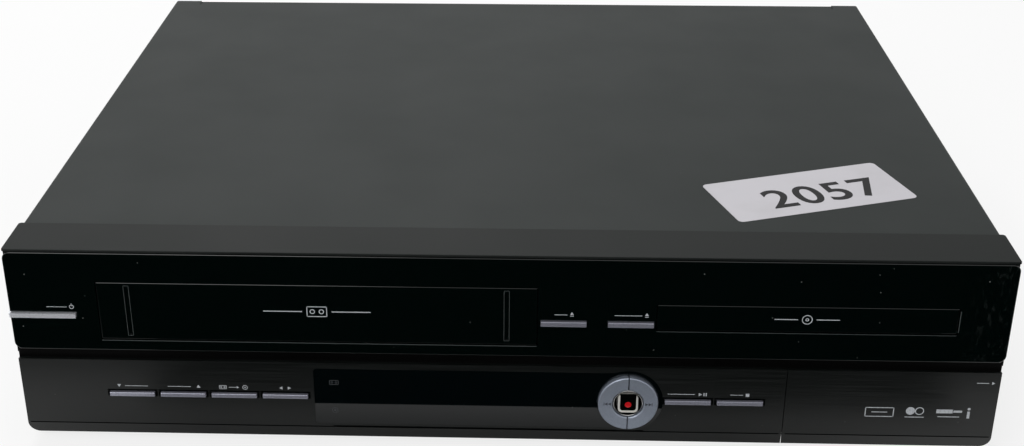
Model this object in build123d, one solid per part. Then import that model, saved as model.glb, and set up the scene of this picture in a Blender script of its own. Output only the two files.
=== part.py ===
from build123d import *

import math
import os

# A disc player and video cassette recorder in one low case. Millimetres.
# +X is to the right seen from the front, the front looks along -Y, +Z is up.
# The origin is the bottom centre, on the surface that the feet stand on.

# Case
WIDTH = 435.0
HEIGHT = 99.0
FOOT_H = 4.8
FOOT_D = 26.0
FOOT_IN = 37.35
FOOT_FRONT = 47.0
FOOT_REAR = 33.0
CASE_DEPTH = 350.0
FRONT_Y = -177.0
STEEL = 0.8
COVER_INSET = 1.35
COVER_DROP = 0.6
COVER_BOTTOM = 8.2
COVER_BEND = 1.6
LIP_DEPTH = 6.7
LIP_STEP = 0.5
LIP_END = 16.45
FLANGE_H = 12.0
REAR_FLANGE_H = 10.0
REAR_INSET = 1.0
FLAT_GAP = 0.3
SIDE_VENT_W = 3.0
SIDE_VENT_PITCH = 8.0
SIDE_VENT_COUNT = 10
SIDE_VENT_Z = (62.0, 82.0)
SIDE_VENT_START = 113.0
FLOOR_VENT_W = 4.0
FLOOR_VENT_PITCH = 9.0
REAR_VENT_COUNT = 14
REAR_VENT_X = -120.0
REAR_VENT_START = 73.0
REAR_VENT_LENGTH = 40.0
DRIVE_VENT_COUNT = 10
DRIVE_VENT_LEFT = 40.0
DRIVE_VENT_START = 4.0
DRIVE_VENT_LENGTH = 30.0

# Front moulding and fascias
STRIP_DEPTH = 26.5
STRIP_T = 2.0
LIP_T = 1.0
WALL_T = 2.0
CHEEK_T = 2.0
STRIP_CORNER = 1.5
STRIP_EDGE = 0.4
FASCIA_T = 2.5
FASCIA_GROOVE = 0.4
FASCIA_BOTTOM = 49.5
FASCIA_CORNER = 3.5
FASCIA_EDGE = 0.5
LOWER_SET_BACK = 0.8
LOWER_INSET = 0.35
LOWER_TOP = 44.0
LOWER_CORNER = 5.0
BEVEL_Z = 10.3
BEVEL_SET = 1.2

# Keys
KEY_TRAVEL = 0.8
KEY_PROUD = 1.2
KEY_GAP = 0.5
KEY_FLANGE_T = 1.0
KEY_FLANGE_LIP = 1.3
KEY_EDGE = 0.35
STEM_D = 3.0
LOWER_KEY_LENGTH = 20.3
LOWER_KEY_H = 2.1
LOWER_KEY_Z = 25.6
LOWER_KEY_PITCH = 23.0
LOWER_KEY_X = -177.6
PLAY_X = 71.0
UPPER_KEY_H = 2.4
UPPER_KEY_Z = 65.1
UPPER_KEY_IN = 1.6
UPPER_KEY_OUT = 1.3
UPPER_KEY_SPACE = 9.3
STANDBY_GAP = 10.2
STANDBY_OUT = 0.5
STANDBY_CORNER = 1.2
STANDBY_STEM = 10.0
STANDBY_Z = 66.0
STANDBY_H = 2.1

# Ring of two half keys with the record key in its dish
RING_X = 54.6
RING_Z = 26.4
RING_R = 13.3
RING_HOLE_R = 7.0
RING_SPLIT = 0.5
RING_PROUD = 1.6
DISH_R = 6.7
DISH_BOWL_R = 6.1
DISH_PROUD = 0.6
BRIDGE_W = 3.6
RECORD_SIDE = 9.0
RECORD_CORNER = 2.0
RECORD_FLANGE_R = 6.4
RING_STEM = 10.3
RING_EDGE = 0.4

# Display window
WINDOW_LEFT = -85.4
WINDOW_BOTTOM = 12.4
WINDOW_H = 28.4
WINDOW_END_R = 15.6
WINDOW_CORNER = 1.5
VIEW_LEFT = -76.0
VIEW_RIGHT = 30.0
VIEW_BOTTOM = 17.0
VIEW_TOP = 37.0

# Doors
DOOR_X = (-178.0, 13.6)
DOOR_Z = (55.2, 83.3)
DOOR_T = 2.0
DOOR_GAP = 0.4
DOOR_EDGE = 0.4
DOOR_GROOVE_W = 1.8
DOOR_GROOVE_DEPTH = 0.5
DOOR_GROOVE_X = (-165.0, 0.4)
DOOR_GROOVE_Z = (57.4, 81.5)
PIVOT_D = 2.0
RUNNING = 0.05
FLAP_SEAM = 123.9
FLAP_T = 1.4
FLAP_AXIS_Y = -171.5
FLAP_AXIS_Z = 9.3
FLAP_LUG_IN = (7.1, 9.15)
LUG_W = 3.0
EAR_T = 2.5
RECESS_IN = (4.6, 4.15)
RECESS_Z = (15.0, 41.5)
RECESS_BACK_Y = -159.0
RECESS_WALL = 1.5
SOCKET_FIRST = 17.5
SOCKET_PITCH = 16.0
SOCKET_Z = 27.0
SOCKET_PROUD = 5.0
SOCKET_DEPTH = 9.0
SOCKET_BODY = (11.0, 12.0)
USB_IN = 14.0
USB_ROOM = 21.0
USB_SIZE = (14.4, 7.0)
USB_DEPTH = 14.0
USB_WALL = 0.9

# Tray opening and disc drive
TRAY_HALF = 64.5
TRAY_Z = (63.5, 75.9)
TRAY_GAP = 0.4
TRAY_SET_BACK = 0.3
TRAY_FRONT_T = 3.8
TRAY_EDGE = 0.4
LOADER_IN = 87.5
LOADER_HALF = 74.0
LOADER_FRONT = -160.0
LOADER_BACK = 24.0
LOADER_FLOOR = 44.0
LOADER_TOP = 78.0
LOADER_WALL = 2.0
LOADER_LEG_IN = 4.0
LOADER_LEG_FRONT = 20.0
LOADER_LEG_BACK = 8.0
LEG_D = 7.0
LEDGE_T = 1.8
BRIDGE_T = 1.2
BODY_HALF = 63.5
TRAY_BOTTOM = 66.5
TRAY_TOP = 73.5
TRAY_END = -25.0
TRAY_TRAVEL = 135.0
EAR_BACK = 10.0
EAR_OUT = 6.0
EAR_CLEAR = 0.5
DISC_Y = -104.0
DISC_R = 60.5
SMALL_DISC_R = 41.0
SLOT_HALF = 23.0
GEAR_MODULE = 1.0
GEAR_TEETH = 14
GEAR_IN = 51.0
GEAR_Y = -155.0
GEAR_BOTTOM = 60.0
GEAR_TOP = 69.2
TRAVERSE_HALF = 34.0
TRAVERSE_Z = 50.0
TRAVERSE_T = 3.0
TRAVERSE_FRONT = -128.0
TRAVERSE_AXIS_Y = 6.0
ROD_D = 3.0
ROD_X = 19.0
ROD_Z = 58.5
ROD_FRONT = -94.0
ROD_BACK = -8.0
SLED_FRONT = -89.0
SLED_LENGTH = 20.0
SCREW_X = 28.0
SCREW_D = 4.0
CLAMP_R = 12.0

# Cassette deck
DECK_X = -82.2
HOLDER_HALF = 94.2
HOLDER_T = 1.0
HOLDER_FRONT = -138.0
HOLDER_DEPTH = 103.0
HOLDER_BOTTOM = 55.7
HOLDER_TOP = 83.7
HOLDER_LEDGE = 7.0
DECK_Z = 22.0
DECK_T = 1.2
DECK_FRONT = -130.0
DECK_BACK = 100.0
DECK_WALL_BACK = 40.0
DECK_WALL_ROOM = 9.6
DECK_LEG_D = 8.0
DECK_LEG_X = (-168.0, 4.0)
DECK_LEG_Y = (-120.0, 20.0)
DRUM_Y = 65.0
DRUM_R = 31.0
DRUM_TILT = 5.0
DRUM_LOWER_TOP = 22.0
DRUM_UPPER_H = 16.0
DRUM_SHAFT_R = 3.0
DRUM_FOOT_D = 44.0
DRUM_FOOT_H = 14.0
REEL_Y = -20.0
REEL_PITCH = 90.5
REEL_R = 19.0
REEL_PIN_D = 5.0
REEL_PIN_TOP = 38.0
CAPSTAN_X = -30.0
CAPSTAN_Y = 30.0
CAPSTAN_D = 4.0
CAPSTAN_BOSS_H = 3.0
FLYWHEEL_R = 22.0
ROLLER_R = 6.5
ROLLER_ARM = 22.0
ROLLER_OPEN = 20.0

# Boards and rear fittings
BOARD_T = 1.6
FRONT_BOARD_Y = -164.0
SWITCH_SIDE = 6.0
SWITCH_H = 3.5
PLUNGER_D = 3.4
PLUNGER_H = 0.9
BOARD_POST_D = 7.0
FRONT_BOARD_X = (-190.0, 119.0)
FRONT_BOARD_Z = (11.0, 42.0)
FRONT_BOARD_BOSSES = [(-182.0, 16.0), (-105.0, 38.0), (-100.0, 16.0), (105.0, 38.0), (112.0, 16.0)]
KEY_BOARD_Z = (58.0, 73.0)
KEY_BOARD_IN = (3.8, 4.7)
STANDBY_BOARD_IN = (5.5, 26.5)
STANDBY_BOARD_Z = (56.0, 78.0)
STANDBY_BOSS_IN = 12.5
KEY_BOSS_Z = (70.5, 60.5)
STANDBY_BOSS_Z = (75.0, 59.0)
BOSS_D = 5.0
MAIN_LEFT = 15.35
MAIN_RIGHT = 50.0
MAIN_FRONT = 3.0
MAIN_REAR = 5.0
MAIN_Z = 20.0
MAIN_POST_IN = (8.0, 7.0)
POWER_LEFT = 72.0
POWER_RIGHT = 9.35
POWER_FRONT = 113.0
POWER_REAR = 7.0
POWER_Z = 14.0
POWER_POST_IN = (8.0, 8.0, 26.0)
CORE_SIZE = (42.0, 34.0, 34.0)
CORE_AT = (40.0, 24.0)
WINDING_IN = 6.0
WINDING_OUT = 4.0
WINDING_H = 27.0
CAPACITOR_D = 18.0
CAPACITOR_H = 30.0
CAPACITOR_AT = (16.0, 22.0)
CAPACITOR_PITCH = 22.0
CAPACITOR_COUNT = 3
SINK_IN = 6.0
SINK_FRONT = 32.0
SINK_BACK_T = 3.0
SINK_H = 32.0
FIN_LIFT = 6.0
FIN_T = 2.0
FIN_LENGTH = 13.0
FIN_PITCH = 7.6
JACK_OUT = 7.0
JACK_D = 9.0
JACK_HOLE_D = 3.4
RF_HOLE_D = 2.4
JACK_BLOCK_HALF = 6.0
JACK_BLOCK_DEPTH = 14.0
JACK_BLOCK_TOP = 51.0
JACK_FIRST = 66.0
JACK_PITCH = 16.0
JACK_COLUMNS = 3
JACK_Z = (28.0, 44.0)
TUNER_AT = (4.0, 56.0)
TUNER_BEHIND = 14.0
TUNER_TOP = 45.0
RF_AT = (22.0, 42.0)
RF_Z = 33.0
SCART_FIRST = 138.0
SCART_PITCH = 58.0
SCART_Z = 31.0
SCART_SIZE = (48.0, 14.0)
SCART_HOLE = (43.0, 9.0)
SCART_HOLE_DEPTH = 14.0
SCART_BODY = 22.0
SCART_OUT = 4.0
PANEL_GAP = 0.2
INLET_IN = 20.0
INLET_Z = 28.0
INLET_SIZE = (22.0, 16.0)
INLET_HOLE = (15.0, 8.4)
INLET_HOLE_DEPTH = 13.0
INLET_BODY = 22.0
INLET_OUT = 1.2
INLET_PIN_D = 2.4
INLET_PIN_X = 3.6
FAN_X = 105.0
FAN_Z = 58.0
FAN_SIDE = 50.0
FAN_WALL = 1.5
FAN_DEPTH = 15.0
FAN_SPOKE = 3.0
FAN_SPOKE_T = 2.0
FAN_PIN_D = 4.0
FAN_PIN_LENGTH = 12.0
FAN_HUB_D = 22.0
FAN_HUB_H = 11.0
FAN_BLADES = 7
GRILLE_R = 22.0
GRILLE_PITCH = 5.0
GRILLE_SLOT = 2.6
GRILLE_SLOTS = 9
GRILLE_LEAST = 4.0
SCREW_SHANK_D = 3.0
SCREW_HEAD_D = 6.4
SCREW_HEAD_T = 1.8
SCREW_LENGTH = 7.0
SCREW_PLAY = 0.2
SIDE_SCREW_FRONT = 40.5
SIDE_SCREW_REAR = 53.0
SIDE_SCREW_Z = 14.0
REAR_SCREW_Z = 12.0
REAR_SCREW_IN = (45.35, 65.35)
REAR_SCREW_MIDDLE = 20.0
LABEL_X = 139.6
LABEL_Y = -106.8
LABEL_SIZE = (90.0, 41.5)
LABEL_TURN = 18.5
LABEL_CORNER = 2.5
LABEL_T = 0.15

# Worked out from the values above
HALF = WIDTH / 2
REAR_Y = FRONT_Y + CASE_DEPTH
FASCIA_BACK = FRONT_Y + FASCIA_T
FASCIA_TOP = HEIGHT - LIP_T - FASCIA_GROOVE
WALL_BACK = FASCIA_BACK + WALL_T
STRIP_BACK = FRONT_Y + STRIP_DEPTH
LOWER_FACE = FRONT_Y + LOWER_SET_BACK
LOWER_HALF = HALF - LOWER_INSET
COVER_HALF = HALF - COVER_INSET
COVER_TOP = HEIGHT - COVER_DROP
LIP_HALF_LENGTH = COVER_HALF - LIP_END
INNER_HALF = COVER_HALF - STEEL
FLOOR_TOP = FOOT_H + STEEL
REAR_FACE = REAR_Y - REAR_INSET
REAR_PANEL_TOP = COVER_TOP - STEEL - LIP_STEP
SWITCH_FACE = FRONT_BOARD_Y - SWITCH_H
STEM_END = SWITCH_FACE - PLUNGER_H - KEY_TRAVEL - 0.1
FLANGE_FRONT = WALL_BACK + FLAT_GAP
FLANGE_BACK = FLANGE_FRONT + KEY_FLANGE_T
DOOR_FACE = FRONT_Y + 0.2
DOOR_AXIS_Y = FASCIA_BACK + 1.0
DOOR_AXIS_Z = DOOR_Z[1] - 0.8
FLAP_FACE = LOWER_FACE
FLAP_X = (FLAP_SEAM + FLAT_GAP, LOWER_HALF)
FLAP_LUGS = (FLAP_SEAM + FLAP_LUG_IN[0], LOWER_HALF - FLAP_LUG_IN[1])
RECESS_X = (FLAP_SEAM + RECESS_IN[0], LOWER_HALF - RECESS_IN[1])
USB_PLACE = (RECESS_X[1] - USB_IN, SOCKET_Z)
LOADER_X = HALF - LOADER_IN
LOADER_LEGS = [
    (LOADER_X + side * (LOADER_HALF - LOADER_LEG_IN), y)
    for side in (-1, 1) for y in (LOADER_FRONT + LOADER_LEG_FRONT, LOADER_BACK - LOADER_LEG_BACK)
]
TRAY_X = (LOADER_X - TRAY_HALF, LOADER_X + TRAY_HALF)
TRAY_FACE = FRONT_Y + TRAY_SET_BACK
TRAY_BACK = TRAY_FACE + TRAY_FRONT_T
EAR_FRONT = FLANGE_BACK + KEY_TRAVEL + EAR_CLEAR + TRAY_TRAVEL
GEAR_R = GEAR_MODULE * GEAR_TEETH / 2
GEAR_X = LOADER_X - GEAR_IN
DECK_TOP = DECK_Z + DECK_T
DECK_WALL_TOP = COVER_TOP - STEEL - DECK_WALL_ROOM
DECK_LEGS = [(x, y) for x in DECK_LEG_X for y in DECK_LEG_Y]
UPPER_KEY_LENGTH = (TRAY_X[0] - UPPER_KEY_OUT - DOOR_X[1] - UPPER_KEY_IN - UPPER_KEY_SPACE) / 2
EJECT_X = (DOOR_X[1] + UPPER_KEY_IN, DOOR_X[1] + UPPER_KEY_IN + UPPER_KEY_LENGTH)
OPEN_X = (TRAY_X[0] - UPPER_KEY_OUT - UPPER_KEY_LENGTH, TRAY_X[0] - UPPER_KEY_OUT)
STANDBY_RIGHT = DOOR_X[0] - STANDBY_GAP
LOWER_KEYS = {
    "channel_down_key": LOWER_KEY_X,
    "channel_up_key": LOWER_KEY_X + LOWER_KEY_PITCH,
    "dubbing_key": LOWER_KEY_X + 2 * LOWER_KEY_PITCH,
    "source_key": LOWER_KEY_X + 3 * LOWER_KEY_PITCH,
    "play_key": PLAY_X,
    "stop_key": PLAY_X + LOWER_KEY_PITCH,
}
SWITCH_PLACES = (
    [(x + LOWER_KEY_LENGTH / 2, LOWER_KEY_Z + LOWER_KEY_H / 2) for x in LOWER_KEYS.values()]
    + [(RING_X - RING_STEM, RING_Z), (RING_X, RING_Z), (RING_X + RING_STEM, RING_Z)]
    + [(sum(x) / 2, UPPER_KEY_Z + UPPER_KEY_H / 2) for x in (EJECT_X, OPEN_X)]
    + [(STANDBY_RIGHT - STANDBY_STEM, STANDBY_Z + STANDBY_H / 2)]
)
UPPER_BOSSES = [((EJECT_X[1] + OPEN_X[0]) / 2, z) for z in KEY_BOSS_Z]
UPPER_BOSSES += [(-HALF + STANDBY_BOSS_IN, z) for z in STANDBY_BOSS_Z]
FOOT_PLACES = [
    (side * (INNER_HALF - FOOT_IN), y) for side in (-1, 1) for y in (FRONT_Y + FOOT_FRONT, REAR_Y - FOOT_REAR)
]
SIDE_SCREWS = [(y, SIDE_SCREW_Z) for y in (STRIP_BACK + SIDE_SCREW_FRONT, REAR_Y - SIDE_SCREW_REAR)]
REAR_SCREWS = [
    (x, REAR_SCREW_Z)
    for x in (-INNER_HALF + REAR_SCREW_IN[0], REAR_SCREW_MIDDLE, INNER_HALF - REAR_SCREW_IN[1])
]
MAIN_X = (-INNER_HALF + MAIN_LEFT, MAIN_RIGHT)
MAIN_Y = (DECK_BACK + MAIN_FRONT, REAR_Y - MAIN_REAR)
MAIN_TOP = MAIN_Z + BOARD_T
MAIN_POSTS = [
    (x, y)
    for x in (MAIN_X[0] + MAIN_POST_IN[0], MAIN_X[1] - MAIN_POST_IN[0])
    for y in (MAIN_Y[0] + MAIN_POST_IN[1], MAIN_Y[1] - MAIN_POST_IN[0])
]
POWER_X = (POWER_LEFT, INNER_HALF - POWER_RIGHT)
POWER_Y = (REAR_Y - POWER_FRONT, REAR_Y - POWER_REAR)
POWER_TOP = POWER_Z + BOARD_T
POWER_POSTS = [
    (x, y)
    for x in (POWER_X[0] + POWER_POST_IN[0], POWER_X[1] - POWER_POST_IN[0])
    for y in (POWER_Y[0] + POWER_POST_IN[1], POWER_Y[1] - POWER_POST_IN[2])
]
TUNER_X = (MAIN_X[0] + TUNER_AT[0], MAIN_X[0] + TUNER_AT[1])
RF_PLACES = [(MAIN_X[0] + x, RF_Z) for x in RF_AT]
JACK_X = [MAIN_X[0] + JACK_FIRST + JACK_PITCH * i for i in range(JACK_COLUMNS)]
REAR_JACK_PLACES = [(x, z) for x in JACK_X for z in JACK_Z]
SCARTS = (MAIN_X[0] + SCART_FIRST, MAIN_X[0] + SCART_FIRST + SCART_PITCH)
INLET_X = POWER_X[1] - INLET_IN
CORE_X = (POWER_X[0] + CORE_AT[0], POWER_X[0] + CORE_AT[0] + CORE_SIZE[0])


def block(x0, x1, y0, y1, z0, z1):
    """A box between the given limits."""
    return Pos((x0 + x1) / 2, (y0 + y1) / 2, (z0 + z1) / 2) * Box(x1 - x0, y1 - y0, z1 - z0)


def post(x, y, z0, z1, d):
    """An upright cylinder."""
    return Pos(x, y, (z0 + z1) / 2) * Cylinder(d / 2, z1 - z0)


def pin_x(x0, x1, y, z, d):
    """A cylinder along X."""
    return Pos((x0 + x1) / 2, y, z) * Rot(0, 90, 0) * Cylinder(d / 2, x1 - x0)


def pin_y(x, y0, y1, z, d):
    """A cylinder along Y."""
    return Pos(x, (y0 + y1) / 2, z) * Rot(90, 0, 0) * Cylinder(d / 2, y1 - y0)


def plate_y(x0, x1, y0, y1, z0, z1, radius):
    """A plate facing the front, with its four corners rounded."""
    outline = RectangleRounded(x1 - x0, z1 - z0, radius)
    return Pos((x0 + x1) / 2, y1, (z0 + z1) / 2) * extrude(Plane.XZ * outline, y1 - y0)


def tube_y(x, y0, y1, z, outer_d, inner_d):
    """A tube along Y."""
    return pin_y(x, y0, y1, z, outer_d) - pin_y(x, y0 - 1, y1 + 1, z, inner_d)


def box_round(x, z, size, y0, y1, grow=0.0):
    """A box along Y whose section is centred on x, z."""
    half_x, half_z = size[0] / 2 + grow, size[1] / 2 + grow
    return block(x - half_x, x + half_x, y0, y1, z - half_z, z + half_z)


def span(a, b):
    """Two limits in rising order."""
    return (a, b) if a < b else (b, a)


def save(name, made):
    """Write one node from a shape or from a list of like shapes."""
    shapes = made if isinstance(made, list) else [made]
    solids = [solid for shape in shapes for solid in shape.solids()]
    whole = solids[0] if len(solids) == 1 else Compound(children=solids)
    export_step(whole, f"parts/{name}.step")


# Places that more than one piece shares

def key_slots(y0, y1):
    """The holes that the bar keys pass through."""
    z0, z1 = LOWER_KEY_Z - KEY_GAP, LOWER_KEY_Z + LOWER_KEY_H + KEY_GAP
    slots = [
        block(x - KEY_GAP, x + LOWER_KEY_LENGTH + KEY_GAP, y0, y1, z0, z1)
        for x in LOWER_KEYS.values()
    ]
    z0, z1 = UPPER_KEY_Z - KEY_GAP, UPPER_KEY_Z + UPPER_KEY_H + KEY_GAP
    for x0, x1 in (EJECT_X, OPEN_X):
        slots.append(block(x0 - KEY_GAP, x1 + KEY_GAP, y0, y1, z0, z1))
    z0, z1 = STANDBY_Z - KEY_GAP, STANDBY_Z + STANDBY_H + KEY_GAP
    slots.append(block(-HALF - 1, STANDBY_RIGHT + KEY_GAP, y0, y1, z0, z1))
    return slots


def door_hole(y0, y1, extra):
    """The opening for the cassette door, with extra room on its hidden sides."""
    return block(
        DOOR_X[0] - DOOR_GAP - extra, DOOR_X[1] + DOOR_GAP, y0, y1,
        DOOR_Z[0] - DOOR_GAP - extra, DOOR_Z[1] + DOOR_GAP + extra,
    )


def tray_hole(y0, y1):
    """The opening for the disc tray's front."""
    return block(
        TRAY_X[0] - TRAY_GAP, TRAY_X[1] + TRAY_GAP, y0, y1, TRAY_Z[0] - TRAY_GAP, TRAY_Z[1] + TRAY_GAP
    )


def window_shape(y0, y1, gap):
    """The window: a rounded bar whose right end runs round the ring."""
    bar = plate_y(
        WINDOW_LEFT - gap, RING_X, y0, y1,
        WINDOW_BOTTOM - gap, WINDOW_BOTTOM + WINDOW_H + gap, WINDOW_CORNER + gap,
    )
    return bar + pin_y(RING_X, y0, y1, RING_Z, 2 * (WINDOW_END_R + gap))


def socket_places():
    """Centres of the round sockets behind the flap, as many as fit beside the square one."""
    first = RECESS_X[0] + SOCKET_FIRST
    count = int((USB_PLACE[0] - USB_ROOM - first) / SOCKET_PITCH + 0.01) + 1
    return [(first + SOCKET_PITCH * i, SOCKET_Z) for i in range(count)]


# Casing

def vent_rows(x, y, count, length):
    """Slots through the floor, side by side along X."""
    return [
        block(
            x + FLOOR_VENT_PITCH * i, x + FLOOR_VENT_PITCH * i + FLOOR_VENT_W, y, y + length,
            FOOT_H - 1, FLOOR_TOP + 1,
        )
        for i in range(count)
    ]


def bottom_chassis():
    """The floor pan with its side and rear flanges and the posts under the boards."""
    front, back = STRIP_BACK, REAR_FACE
    pan = block(-INNER_HALF, INNER_HALF, front, back, FOOT_H, FLOOR_TOP)
    for side in (-1, 1):
        x0, x1 = span(side * INNER_HALF, side * (INNER_HALF - STEEL))
        pan += block(x0, x1, front, back, FLOOR_TOP, FLOOR_TOP + FLANGE_H)
    pan += block(-INNER_HALF, INNER_HALF, back - STEEL, back, FLOOR_TOP, FLOOR_TOP + REAR_FLANGE_H)
    pan += [post(x, y, FLOOR_TOP, MAIN_Z, BOARD_POST_D) for x, y in MAIN_POSTS]
    pan += [post(x, y, FLOOR_TOP, POWER_Z, BOARD_POST_D) for x, y in POWER_POSTS]
    pan -= vent_rows(REAR_VENT_X, REAR_Y - REAR_VENT_START, REAR_VENT_COUNT, REAR_VENT_LENGTH)
    pan -= vent_rows(
        LOADER_X - DRIVE_VENT_LEFT, LOADER_BACK - DRIVE_VENT_START, DRIVE_VENT_COUNT, DRIVE_VENT_LENGTH
    )
    pan -= [pin_x(-HALF, HALF, y, z, SCREW_SHANK_D + SCREW_PLAY) for y, z in SIDE_SCREWS]
    return pan - [pin_y(x, back - 2, back + 1, z, SCREW_SHANK_D + SCREW_PLAY) for x, z in REAR_SCREWS]


def top_cover():
    """A bent sheet over the top and both sides, with a stepped lip along the back."""
    y0, y1 = STRIP_BACK + FLAT_GAP, REAR_Y
    outer = block(-COVER_HALF, COVER_HALF, y0, y1, COVER_BOTTOM, COVER_TOP)
    bends = outer.edges().filter_by(Axis.Y).group_by(Axis.Z)[-1]
    outer = fillet(bends, COVER_BEND)
    inner = block(-INNER_HALF, INNER_HALF, y0 - 1, y1 + 1, COVER_BOTTOM - 1, COVER_TOP - STEEL)
    bends = inner.edges().filter_by(Axis.Y).group_by(Axis.Z)[-1]
    cover = outer - fillet(bends, COVER_BEND - STEEL)
    lip_y = REAR_Y - LIP_DEPTH
    cover -= block(-LIP_HALF_LENGTH, LIP_HALF_LENGTH, lip_y, y1 + 1, COVER_TOP - LIP_STEP, COVER_TOP + 1)
    under = COVER_TOP - STEEL
    cover += block(-LIP_HALF_LENGTH - STEEL, LIP_HALF_LENGTH + STEEL, lip_y - STEEL, y1, under - LIP_STEP, under)
    cover -= [pin_x(-HALF, HALF, y, z, SCREW_SHANK_D + SCREW_PLAY) for y, z in SIDE_SCREWS]
    first = REAR_Y - SIDE_VENT_START
    starts = [first + SIDE_VENT_PITCH * i for i in range(SIDE_VENT_COUNT)]
    return cover - [block(-HALF, HALF, y, y + SIDE_VENT_W, *SIDE_VENT_Z) for y in starts]


def rear_panel():
    """The back wall, open for the sockets, the inlet and the fan."""
    y0, y1 = REAR_FACE, REAR_FACE + STEEL
    panel = block(-INNER_HALF, INNER_HALF, y0, y1, FLOOR_TOP, REAR_PANEL_TOP)
    y0, y1 = y0 - 1, y1 + 1
    holes = [pin_y(x, y0, y1, z, JACK_D + 1.0) for x, z in REAR_JACK_PLACES + RF_PLACES]
    holes += [box_round(x, SCART_Z, SCART_SIZE, y0, y1, PANEL_GAP) for x in SCARTS]
    holes.append(box_round(INLET_X, INLET_Z, INLET_SIZE, y0, y1, PANEL_GAP + 0.1))
    holes += [pin_y(x, y0, y1, z, SCREW_SHANK_D + SCREW_PLAY) for x, z in REAR_SCREWS]
    for row in range(GRILLE_SLOTS):
        rise = GRILLE_PITCH * (row - (GRILLE_SLOTS - 1) / 2)
        half = math.sqrt(max(GRILLE_R**2 - rise**2, GRILLE_LEAST**2))
        holes.append(box_round(FAN_X, FAN_Z + rise, (2 * half, GRILLE_SLOT), y0, y1))
    return panel - holes


def front_panel():
    """The moulding that carries the fascias, doors, keys and boards."""
    strip = block(-HALF, HALF, FRONT_Y, STRIP_BACK, HEIGHT - LIP_T, HEIGHT)
    strip = fillet(strip.edges().filter_by(Axis.Z), STRIP_CORNER)
    strip = fillet(strip.faces().sort_by(Axis.Z)[-1].edges(), STRIP_EDGE)
    strip += block(-HALF, HALF, FASCIA_BACK, STRIP_BACK, HEIGHT - STRIP_T, HEIGHT - LIP_T)
    body = strip + block(-LOWER_HALF, LOWER_HALF, FASCIA_BACK, STRIP_BACK, FOOT_H, FOOT_H + STRIP_T)
    split = (LOWER_TOP + FASCIA_BOTTOM) / 2
    for side in (-1, 1):
        for half, z0, z1 in ((LOWER_HALF, FOOT_H, split), (HALF, split, HEIGHT - LIP_T)):
            x0, x1 = span(side * half, side * (half - CHEEK_T))
            body += block(x0, x1, FASCIA_BACK, STRIP_BACK, z0, z1)
    wall = block(-LOWER_HALF, LOWER_HALF, FASCIA_BACK, WALL_BACK, FOOT_H, HEIGHT - LIP_T)
    y0, y1 = FASCIA_BACK - 1, WALL_BACK + 1
    wall -= key_slots(y0, y1)
    wall -= door_hole(y0, y1, 1.0)
    wall -= tray_hole(y0, y1)
    wall -= block(VIEW_LEFT, VIEW_RIGHT, y0, y1, VIEW_BOTTOM, VIEW_TOP)
    wall -= block(FLAP_X[0] - FLAT_GAP, HALF, y0, y1, FOOT_H - 1, LOWER_TOP - 2.0)
    body += wall
    body -= [low_corner(side) for side in (-1, 1)]
    body += flap_recess()
    body -= key_slots(y0, STRIP_BACK - 8)[-1:]
    body -= flap_sweep()
    body += [pin_y(x, WALL_BACK, FRONT_BOARD_Y, z, BOSS_D) for x, z in FRONT_BOARD_BOSSES + UPPER_BOSSES]
    body += door_ears()
    body -= pin_x(DOOR_X[0] - 4, DOOR_X[1] + 4, DOOR_AXIS_Y, DOOR_AXIS_Z, PIVOT_D + 2 * RUNNING)
    body += flap_ears()
    return with_ring(body)


def low_corner(side):
    """What the rounding takes off the moulding's lower corner, left (-1) or right (+1)."""
    x0, x1 = span(side * (LOWER_HALF + 1), side * (LOWER_HALF - LOWER_CORNER))
    y0, y1 = FASCIA_BACK - 1, STRIP_BACK + 1
    cut = block(x0, x1, y0, y1, FOOT_H - 1, FOOT_H + LOWER_CORNER)
    return cut - pin_y(side * (LOWER_HALF - LOWER_CORNER), y0 - 1, y1 + 1, FOOT_H + LOWER_CORNER, 2 * LOWER_CORNER)


def flap_recess():
    """The pocket with the front sockets, behind the flap."""
    x0, x1 = RECESS_X
    z0, z1 = RECESS_Z
    t = RECESS_WALL
    box = block(x0 - t, x1 + t, FASCIA_BACK, RECESS_BACK_Y + t, z0 - t, z1 + t)
    box -= block(x0, x1, FASCIA_BACK - 1, RECESS_BACK_Y, z0, z1)
    y0, y1 = RECESS_BACK_Y - 1, RECESS_BACK_Y + t + 1
    box -= [pin_y(x, y0, y1, z, JACK_D + 0.4) for x, z in socket_places()]
    box -= box_round(*USB_PLACE, USB_SIZE, y0, y1, PANEL_GAP)
    web = block(x0 - t, x0 + 12, FASCIA_BACK + 9, RECESS_BACK_Y + t, FOOT_H + STRIP_T, z0 - t)
    return box + web


def flap_sweep():
    """The room that the flap's lower edge needs as it turns down."""
    reach = math.hypot(FLAP_AXIS_Y - FLAP_FACE, FLAP_AXIS_Z - FOOT_H) + 0.4
    x0, x1 = FLAP_X[0] - FLAT_GAP, HALF + 1
    round_room = pin_x(x0, x1, FLAP_AXIS_Y, FLAP_AXIS_Z, 2 * reach)
    return round_room & block(x0, x1, FLAP_AXIS_Y - reach, FLAP_AXIS_Y + reach, 0, FLAP_AXIS_Z)


def flap_ears():
    """Two ears that hold the flap's pivots, hung from the pocket's floor."""
    ears = []
    for x in FLAP_LUGS:
        inward = 1 if x == FLAP_LUGS[0] else -1
        near = x + inward * (LUG_W / 2 + FLAT_GAP)
        x0, x1 = span(near, near + inward * EAR_T)
        ear = block(x0, x1, FLAP_AXIS_Y - 1.8, FLAP_AXIS_Y + 2.2, FLAP_AXIS_Z - 2.0, RECESS_Z[0] - 0.5)
        ears.append(ear - pin_x(x0 - 1, x1 + 1, FLAP_AXIS_Y, FLAP_AXIS_Z, PIVOT_D + 2 * RUNNING))
    return ears


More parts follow.
